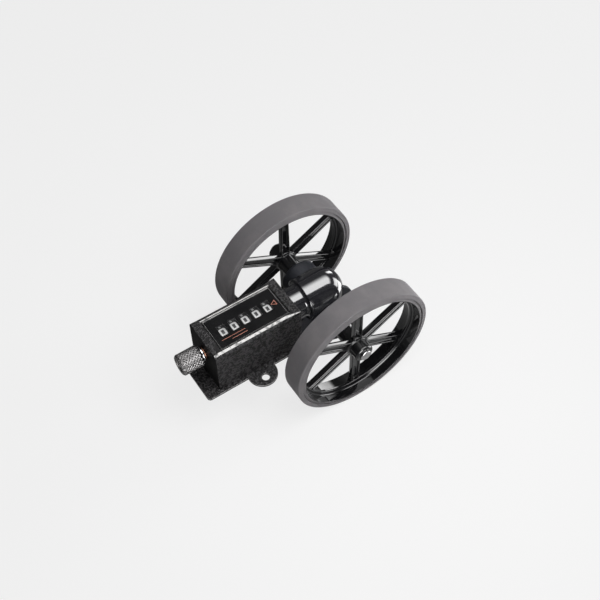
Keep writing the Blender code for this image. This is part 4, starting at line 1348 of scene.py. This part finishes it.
@dataclass
class FigureDrums:
    """The five number wheels and the figures printed round them."""

    count: int = 5
    first: float = -76.7 * MM
    pitch: float = 8.6 * MM
    radius: float = 11.2 * MM
    width: float = 6.4 * MM
    bore: float = 2.3 * MM
    gear_teeth: int = 20
    gear_root: float = 8.15 * MM
    gear_tip: float = 9.95 * MM
    gear_width: float = 0.8 * MM
    root_share: float = 0.36
    tip_share: float = 0.14
    disc_radius: float = 8.15 * MM
    disc_width: float = 0.8 * MM
    figure_width: float = 5.0 * MM
    figure_height: float = 6.4 * MM
    stroke: float = 1.5 * MM
    corner: float = 0.7 * MM
    ink: float = 0.05 * MM
    last_roll: float = 0.05
    mitre_limit: float = 0.5
    stroke_steps: int = 5
    drum_edge: float = 0.25 * MM
    disc_edge: float = 0.1 * MM
    segments: int = 96
    bore_segments: int = 32

    def places(self) -> list[float]:
        """Return where the middle of each wheel lies along the shaft."""
        return [self.first + k * self.pitch for k in range(self.count)]

    def body(self, index: int) -> str:
        """Return the body that a wheel turns with."""
        return "input" if index == self.count - 1 else f"number_wheel_{index + 1}"

    def gear(self, start: float, end: float) -> Form:
        """Return the ring of teeth beside a wheel."""
        pitch_turn = math.tau / self.gear_teeth
        root, tip = self.root_share, self.tip_share
        flank = [(self.gear_root, -root), (self.gear_tip, -tip), (self.gear_tip, tip), (self.gear_root, root)]
        spots = [(radius, (k + part) * pitch_turn) for k in range(self.gear_teeth) for radius, part in flank]
        rings = [[spun(Axis.ALONG, y, radius, turn) for radius, turn in spots] for y in (start, end)]
        return Form().skin(rings)

    def drum(self, index: int) -> None:
        """Build one number wheel."""
        place, half = self.places()[index], self.width / 2
        end, start = place + half, place - half
        edge = self.drum_edge
        profile = [(end, self.bore, 0), (end, self.radius, edge), (start, self.radius, edge)]
        if index:
            profile.append((start, self.disc_radius, 0))
            start -= self.disc_width
            profile.append((start, self.disc_radius, self.disc_edge))
        profile.append((start, self.bore, 0))
        name = f"number_wheel_{index + 1}"
        piece = Form().turned(Axis.ALONG, rounded(profile), self.segments).piece(f"{name}_drum", SHAFT)
        if index < self.count - 1:
            reshape(piece, Change.ADD, [self.gear(end - GAP, end + self.gear_width)])
            bore = Form().rod(start - BEYOND, end + BEYOND, self.bore, self.bore_segments)
            reshape(piece, Change.CUT, [bore])
        Fit(self.body(index), "number_black", DRUM).dress(piece, name)

    def ribbon(self, form: Form, line: list[Point], closed: bool, place: float, turn: float) -> None:
        """Lay one stroke of a figure on a wheel.

        Args:
            form: The form that the stroke is added to.
            line: The stroke's middle line, in metres right and up from the figure's middle.
            closed: True if the line comes round again.
            place: The wheel's middle along the shaft.
            turn: The figure's angle about the shaft.
        """
        count = len(line)
        rings = []
        for k, (x, y) in enumerate(line):
            here = Vector((x, y))
            before = Vector(line[k - 1]) if closed or k else here
            after = Vector(line[(k + 1) % count]) if closed or k < count - 1 else here
            into, onward = here - before, after - here
            into = into.normalized() if into.length else onward.normalized()
            onward = onward.normalized() if onward.length else into
            middle = (into + onward).normalized()
            wide = self.stroke / 2 / max(self.mitre_limit, middle.dot(into))
            across = Vector((-middle.y, middle.x)) * wide
            corners = ((across, -self.ink), (across, self.ink), (-across, self.ink), (-across, -self.ink))
            ring = []
            for shift, height in corners:
                spot = here + shift
                angle = turn - spot.y / self.radius
                ring.append(spun(Axis.ALONG, place + spot.x, self.radius + height, angle))
            rings.append(ring)
        form.skin(rings, closed)

    def figures(self, index: int) -> None:
        """Build the ten figures of one wheel, the next one above the last."""
        form = Form()
        wide, high = self.figure_width - self.stroke, self.figure_height - self.stroke
        roll = self.last_roll if index == self.count - 1 else 0.0
        for figure, strokes in STROKES.items():
            turn = roll - math.tau * figure / len(STROKES)
            for closed, corners in strokes:
                drawn = [((x - 0.5) * wide, (y - 0.5) * high, bend * self.corner) for x, y, bend in corners]
                line = rounded(drawn, self.stroke_steps, closed)
                line = self.close_points(line + line[:1])[:-1] if closed else self.close_points(line)
                self.ribbon(form, line, closed, self.places()[index], turn)
        piece = form.piece(f"number_wheel_{index + 1}_figures", SHAFT)
        Fit(self.body(index), "number_black", WHITE_INK).dress(piece)

    @staticmethod
    def close_points(line: list[Point], longest: float = 0.8 * MM) -> list[Point]:
        """Return a line with points so close together that it can bend round a wheel."""
        points = [line[0]]
        for x, y in line[1:]:
            last = Vector(points[-1])
            step = Vector((x, y)) - last
            parts = max(1, math.ceil(step.length / longest))
            points += [tuple(last + step * (k + 1) / parts) for k in range(parts)]
        return points

    def build(self) -> None:
        """Build the wheels and their figures."""
        for index in range(self.count):
            self.drum(index)
            self.figures(index)


@dataclass
class ResetKnob:
    """The knurled knob, with its collar and the bush that its shaft turns in."""

    radius: float = 7.6 * MM
    face: float = -95.7 * MM
    end: float = -111.4 * MM
    chamfer: float = 0.9 * MM
    bore: float = 2.3 * MM
    knurl_depth: float = 0.45 * MM
    columns: int = 40
    rows: int = 12
    end_recess: float = 0.8 * MM
    recess_outer: float = 0.62
    recess_inner: float = 0.55
    collar_radius: float = 6.0 * MM
    collar_face: float = -94.1 * MM
    collar_width: float = 1.3 * MM
    bush_radius: float = 4.8 * MM
    bush_shank: float = 3.6 * MM
    case_end: float = CounterHood.end
    collar_edge: float = 0.35 * MM
    bush_depth: float = 1.6 * MM
    bush_flange: float = 1.0 * MM
    bush_edge: float = 0.2 * MM
    bush_bend: float = 0.3 * MM
    sharp_angle: float = 20.0
    segments: int = 72
    bush_segments: int = 64

    def knob(self) -> None:
        """Build the knob, whose diamonds are pyramids between crossing grooves."""
        form = Form()
        start, stop = self.face - self.chamfer, self.end + self.chamfer
        shape = form.shape
        rings = []
        for row in range(self.rows + 1):
            y = start + (stop - start) * row / self.rows
            ring = []
            for k in range(self.columns):
                low = (k + row) % 2
                radius = self.radius - (self.knurl_depth if low else 0.0)
                ring.append(shape.verts.new(spun(Axis.ALONG, y, radius, math.tau * k / self.columns)))
            rings.append(ring)
        for row, (ring, after) in enumerate(zip(rings, rings[1:])):
            for k in range(self.columns):
                onward = (k + 1) % self.columns
                corners = [ring[k], ring[onward], after[onward], after[k]]
                first = (k + row + 1) % 2
                corners = corners[first:] + corners[:first]
                shape.faces.new((corners[0], corners[1], corners[3]))
                shape.faces.new((corners[1], corners[2], corners[3]))
        ends = []
        turns = [math.tau * k / self.columns for k in range(self.columns)]
        for y, deep in ((self.face, 0.0), (self.end, self.end_recess)):
            lines = [
                (y, self.radius - self.chamfer),
                (y, self.radius * self.recess_outer),
                (y + deep, self.radius * self.recess_inner),
                (y + deep, self.bore),
            ]
            drawn = [[spun(Axis.ALONG, along, out, turn) for turn in turns] for along, out in lines]
            ends.append([[shape.verts.new(spot) for spot in ring] for ring in drawn])
        near, far = ends
        chain = near[::-1] + [rings[0]]
        back = [rings[-1]] + far
        for pair in list(zip(chain, chain[1:])) + list(zip(back, back[1:])) + [(far[-1], near[-1])]:
            for k in range(self.columns):
                onward = (k + 1) % self.columns
                shape.faces.new((pair[0][k], pair[0][onward], pair[1][onward], pair[1][k]))
        piece = form.piece("knob_knurled", SHAFT)
        Fit("reset", "knob_silver", KNOB_METAL).dress(piece, "reset_knob", self.sharp_angle)

    def collar(self) -> None:
        """Build the bright collar in front of the knob."""
        far = self.collar_face - self.collar_width
        profile = [
            (self.collar_face, self.bore, 0),
            (self.collar_face, self.collar_radius, self.collar_edge),
            (far, self.collar_radius, self.collar_edge),
            (far, self.bore, 0),
        ]
        piece = Form().turned(Axis.ALONG, rounded(profile), self.segments).piece("collar_bright", SHAFT)
        Fit("reset", "bright_steel", STEEL_ALONG).dress(piece, "knob_collar")

    def bush(self) -> None:
        """Build the flanged bush in the hood's end wall."""
        inner, face = self.case_end + self.bush_depth, self.case_end - GAP
        outer = face - self.bush_flange
        profile = [
            (inner, self.bore, 0),
            (inner, self.bush_shank, 0),
            (face, self.bush_shank, 0),
            (face, self.bush_radius, self.bush_edge),
            (outer, self.bush_radius, self.bush_bend),
            (outer, self.bore, 0),
        ]
        form = Form().turned(Axis.ALONG, rounded(profile), self.bush_segments)
        piece = form.piece("bush_flanged", SHAFT)
        # The bush takes the darkened brass, a painted shade between the collar and the hood.
        Fit("frame", "brass", BRASS_ALONG_PAINTED_SHADE).dress(piece, "knob_bush")

    def build(self) -> None:
        """Build the knob, its collar and its bush."""
        self.knob()
        self.collar()
        self.bush()


@dataclass(frozen=True)
class InnerWorks:
    """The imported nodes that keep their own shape, with the finish of each."""

    finishes: tuple[tuple[str, Finish], ...] = (
        ("axle", STEEL_ACROSS),
        ("axle_gear", STEEL_ACROSS),
        ("axle_bush_left", BRASS_ACROSS),
        ("axle_bush_right", BRASS_ACROSS),
        ("neck_bush", BRASS_ALONG_PAINTED_SHADE),
        ("input_shaft", STEEL_ALONG),
        ("input_gear", BRASS_ALONG_PAINTED_SHADE),
        ("reset_shaft", STEEL_ALONG),
        ("pinion_shaft", STEEL_ALONG),
        ("mechanism_frame", SHEET_STEEL),
        ("transfer_pinion_1", NYLON),
        ("transfer_pinion_2", NYLON),
        ("transfer_pinion_3", NYLON),
        ("transfer_pinion_4", NYLON),
    )

    def build(self) -> None:
        """Give each of the nodes its finish."""
        for name, finish in self.finishes:
            node = frame["nodes"][name]
            node.data.materials.clear()
            coat(node, finish)
            LOG.info("%s keeps its packed shape", name)


@dataclass(frozen=True)
class Lamp:
    """A soft box that shines on the counter."""

    name: str
    direction: Spot
    distance: float
    width: float
    height: float
    brightness: float

    def build(self, target: Vector) -> None:
        """Hang the soft box and turn it to the target."""
        data = bpy.data.lights.new(self.name, "AREA")
        data.shape = "RECTANGLE"
        data.size = self.width
        data.size_y = self.height
        data.energy = self.brightness * math.pi * self.width * self.height
        made = bpy.data.objects.new(self.name, data)
        bpy.context.scene.collection.objects.link(made)
        towards = Vector(self.direction).normalized()
        made.location = target + towards * self.distance
        made.rotation_euler = towards.to_track_quat("Z", "X").to_euler()
        made.visible_camera = False
        made.visible_glossy = False


@dataclass(frozen=True)
class SoftArea:
    """A bright area that only mirrors show, with soft edges where it starts and ends along the axes."""

    strength: float
    starts: tuple[tuple[Axis, float, float], ...]
    ends: tuple[tuple[Axis, float, float], ...]

    def mask(self, sheet: NodeSheet, vector: Wire) -> Wire:
        """Return 1 for the vectors inside the area.

        Args:
            sheet: The tree that the mask is for.
            vector: The wire of a direction or a place.

        Returns:
            The wire of the mask.
        """
        mask = 1.0
        for axis, low, high in self.starts:
            mask = mask * sheet.span(sheet.along(axis, vector), low, high)
        for axis, low, high in self.ends:
            mask = mask * (1.0 - sheet.span(sheet.along(axis, vector), low, high))
        return mask


OVERHEAD = SoftArea(
    8.5,
    starts=((Axis.ACROSS, -0.47, 0.0), (Axis.ALONG, -0.5, -0.2), (Axis.UP, 0.6, 0.8)),
    ends=((Axis.ACROSS, 0.38, 0.45),),
)
LOW_BEHIND = SoftArea(
    7.0,
    starts=((Axis.ACROSS, -0.6, -0.53), (Axis.ALONG, 0.55, 0.7), (Axis.UP, -0.12, 0.0)),
    ends=((Axis.ACROSS, -0.45, -0.38), (Axis.UP, 0.36, 0.5)),
)
HIGH_BEHIND = SoftArea(
    7.0,
    starts=((Axis.ACROSS, -0.12, 0.02), (Axis.ALONG, 0.62, 0.8)),
    ends=((Axis.ACROSS, 0.42, 0.5), (Axis.UP, 0.3, 0.42)),
)
BESIDE = SoftArea(
    15.0,
    starts=((Axis.ACROSS, 0.76, 0.86), (Axis.UP, -0.15, -0.02)),
    ends=((Axis.ALONG, -0.05, 0.1), (Axis.UP, 0.5, 0.62)),
)
FLOOR_SWEEP = SoftArea(
    7.0,
    starts=((Axis.ACROSS, -0.02, 0.015), (Axis.ALONG, 0.14, 0.18)),
    ends=((Axis.ACROSS, 0.15, 0.3),),
)


@dataclass
class Studio:
    """The floor, the light round the counter and the camera."""

    floor_size: float = 8.0
    floor_depth: float = 2 * MM
    paper: float = 0.93
    glow_share: float = 0.75
    seen_white: float = 1.0
    floor_glow: float = 0.3
    floor_shade_edge: Point = (-0.065, -0.045)
    lens: float = 59.97
    sensor: float = 36.0
    clip_start: float = 0.01
    camera_place: Spot = (0.3386, -0.2064, 0.62065)
    right: Spot = (0.5557, 0.8313, -0.01)
    up: Spot = (-0.6693, 0.4545, 0.5878)
    back: Spot = (0.4932, -0.3199, 0.809)
    shaded_fill: float = 0.136
    lit_fill: float = 0.536
    fill_across: float = 0.5
    fill_along: float = 0.12
    fill_middle: float = 0.5
    dim: float = 0.1
    boxes: tuple[SoftArea, ...] = (OVERHEAD, LOW_BEHIND, HIGH_BEHIND, BESIDE)
    lamps: tuple[Lamp, ...] = (
        Lamp("overhead_box", (0.45, 0.1, 0.89), distance=0.34, width=0.22, height=0.22, brightness=3.7),
        Lamp("rear_box", (0.15, 0.97, 0.12), distance=1.2, width=0.9, height=0.35, brightness=4.0),
    )

    def glow(self, sheet: NodeSheet, strength: float) -> Wire:
        """Return a white light of one strength for the world."""
        values = {"Color": (1.0, 1.0, 1.0, 1.0), "Strength": strength}
        return sheet.node("ShaderNodeBackground", values=values)

    def floor(self) -> None:
        """Lay the pale floor, which mirrors show with a bright sweep behind the counter."""
        half = self.floor_size / 2
        outline = [(-half, -half), (half, -half), (half, half), (-half, half)]
        piece = Form().raised(outline, -self.floor_depth, 0.0).piece("studio_floor", Vector())
        made = bpy.data.materials.new("floor_white")
        made.use_nodes = True
        sheet = NodeSheet(made.node_tree)
        grey = (self.paper, self.paper, self.paper, 1.0)
        paper = sheet.node("ShaderNodeBsdfDiffuse", values={"Color": grey})
        white, pale, shade, bright = (
            sheet.node("ShaderNodeEmission", values={"Strength": strength})
            for strength in (self.seen_white, self.floor_glow, self.dim, FLOOR_SWEEP.strength)
        )
        # Past x = -65 mm mirrors see a dim glow instead of the lit paper: painted shade in reflections.
        beyond = sheet.span(sheet.along(Axis.ACROSS), *self.floor_shade_edge)
        filled = sheet.blend(beyond, shade, sheet.blend(self.glow_share, paper, pale))
        mirrored = sheet.blend(FLOOR_SWEEP.mask(sheet, sheet.place()), filled, bright)
        camera = sheet.node("ShaderNodeLightPath", output="Is Camera Ray")
        glossy = sheet.node("ShaderNodeLightPath", output="Is Glossy Ray")
        lit = sheet.blend(camera, paper, sheet.blend(self.glow_share, paper, white))
        both = sheet.blend(glossy, lit, mirrored)
        sheet.node("ShaderNodeOutputMaterial", values={"Surface": both}, output=None)
        piece.data.materials.append(made)

    def world(self) -> None:
        """Light the room: white where it is seen, and dark with bright boxes where it is mirrored."""
        room = bpy.data.worlds.new("studio_room")
        bpy.context.scene.world = room
        room.use_nodes = True
        sheet = NodeSheet(room.node_tree)
        direction = sheet.node("ShaderNodeTexCoord", output="Generated")
        mirrored = self.glow(sheet, self.dim)
        for box in self.boxes:
            mirrored = sheet.blend(box.mask(sheet, direction), mirrored, self.glow(sheet, box.strength))
        x, y = sheet.along(Axis.ACROSS, direction), sheet.along(Axis.ALONG, direction)
        side = x * self.fill_across + y * self.fill_along + self.fill_middle
        fill = sheet.blend(side, self.glow(sheet, self.shaded_fill), self.glow(sheet, self.lit_fill))
        glossy = sheet.node("ShaderNodeLightPath", output="Is Glossy Ray")
        camera = sheet.node("ShaderNodeLightPath", output="Is Camera Ray")
        inner = sheet.blend(glossy, fill, mirrored)
        outer = sheet.blend(camera, inner, self.glow(sheet, self.seen_white))
        sheet.node("ShaderNodeOutputWorld", values={"Surface": outer}, output=None)

    def camera(self) -> None:
        """Stand the camera where the photograph was taken from."""
        data = bpy.data.cameras.new("photo_camera")
        data.lens = self.lens
        data.sensor_width = self.sensor
        data.clip_start = self.clip_start
        made = bpy.data.objects.new("photo_camera", data)
        bpy.context.scene.collection.objects.link(made)
        turn = Matrix((self.right, self.up, self.back)).transposed().to_4x4()
        made.matrix_world = Matrix.Translation(Vector(self.camera_place)) @ turn
        bpy.context.scene.camera = made

    def build(self) -> None:
        """Set the whole studio up."""
        self.floor()
        self.world()
        for lamp in self.lamps:
            lamp.build(SHAFT)
        self.camera()
        bpy.context.scene.view_settings.view_transform = "Standard"


def main() -> None:
    """Build every sub-assembly in order."""
    logging.basicConfig(level=logging.INFO, format="%(message)s")
    Studio().build()
    for side in Side:
        MeasuringWheel(side).build()
    AxleHousing().build()
    GearHead().build()
    CounterHood().build()
    FigureDrums().build()
    ResetKnob().build()
    InnerWorks().build()


if __name__ == "__main__":
    main()
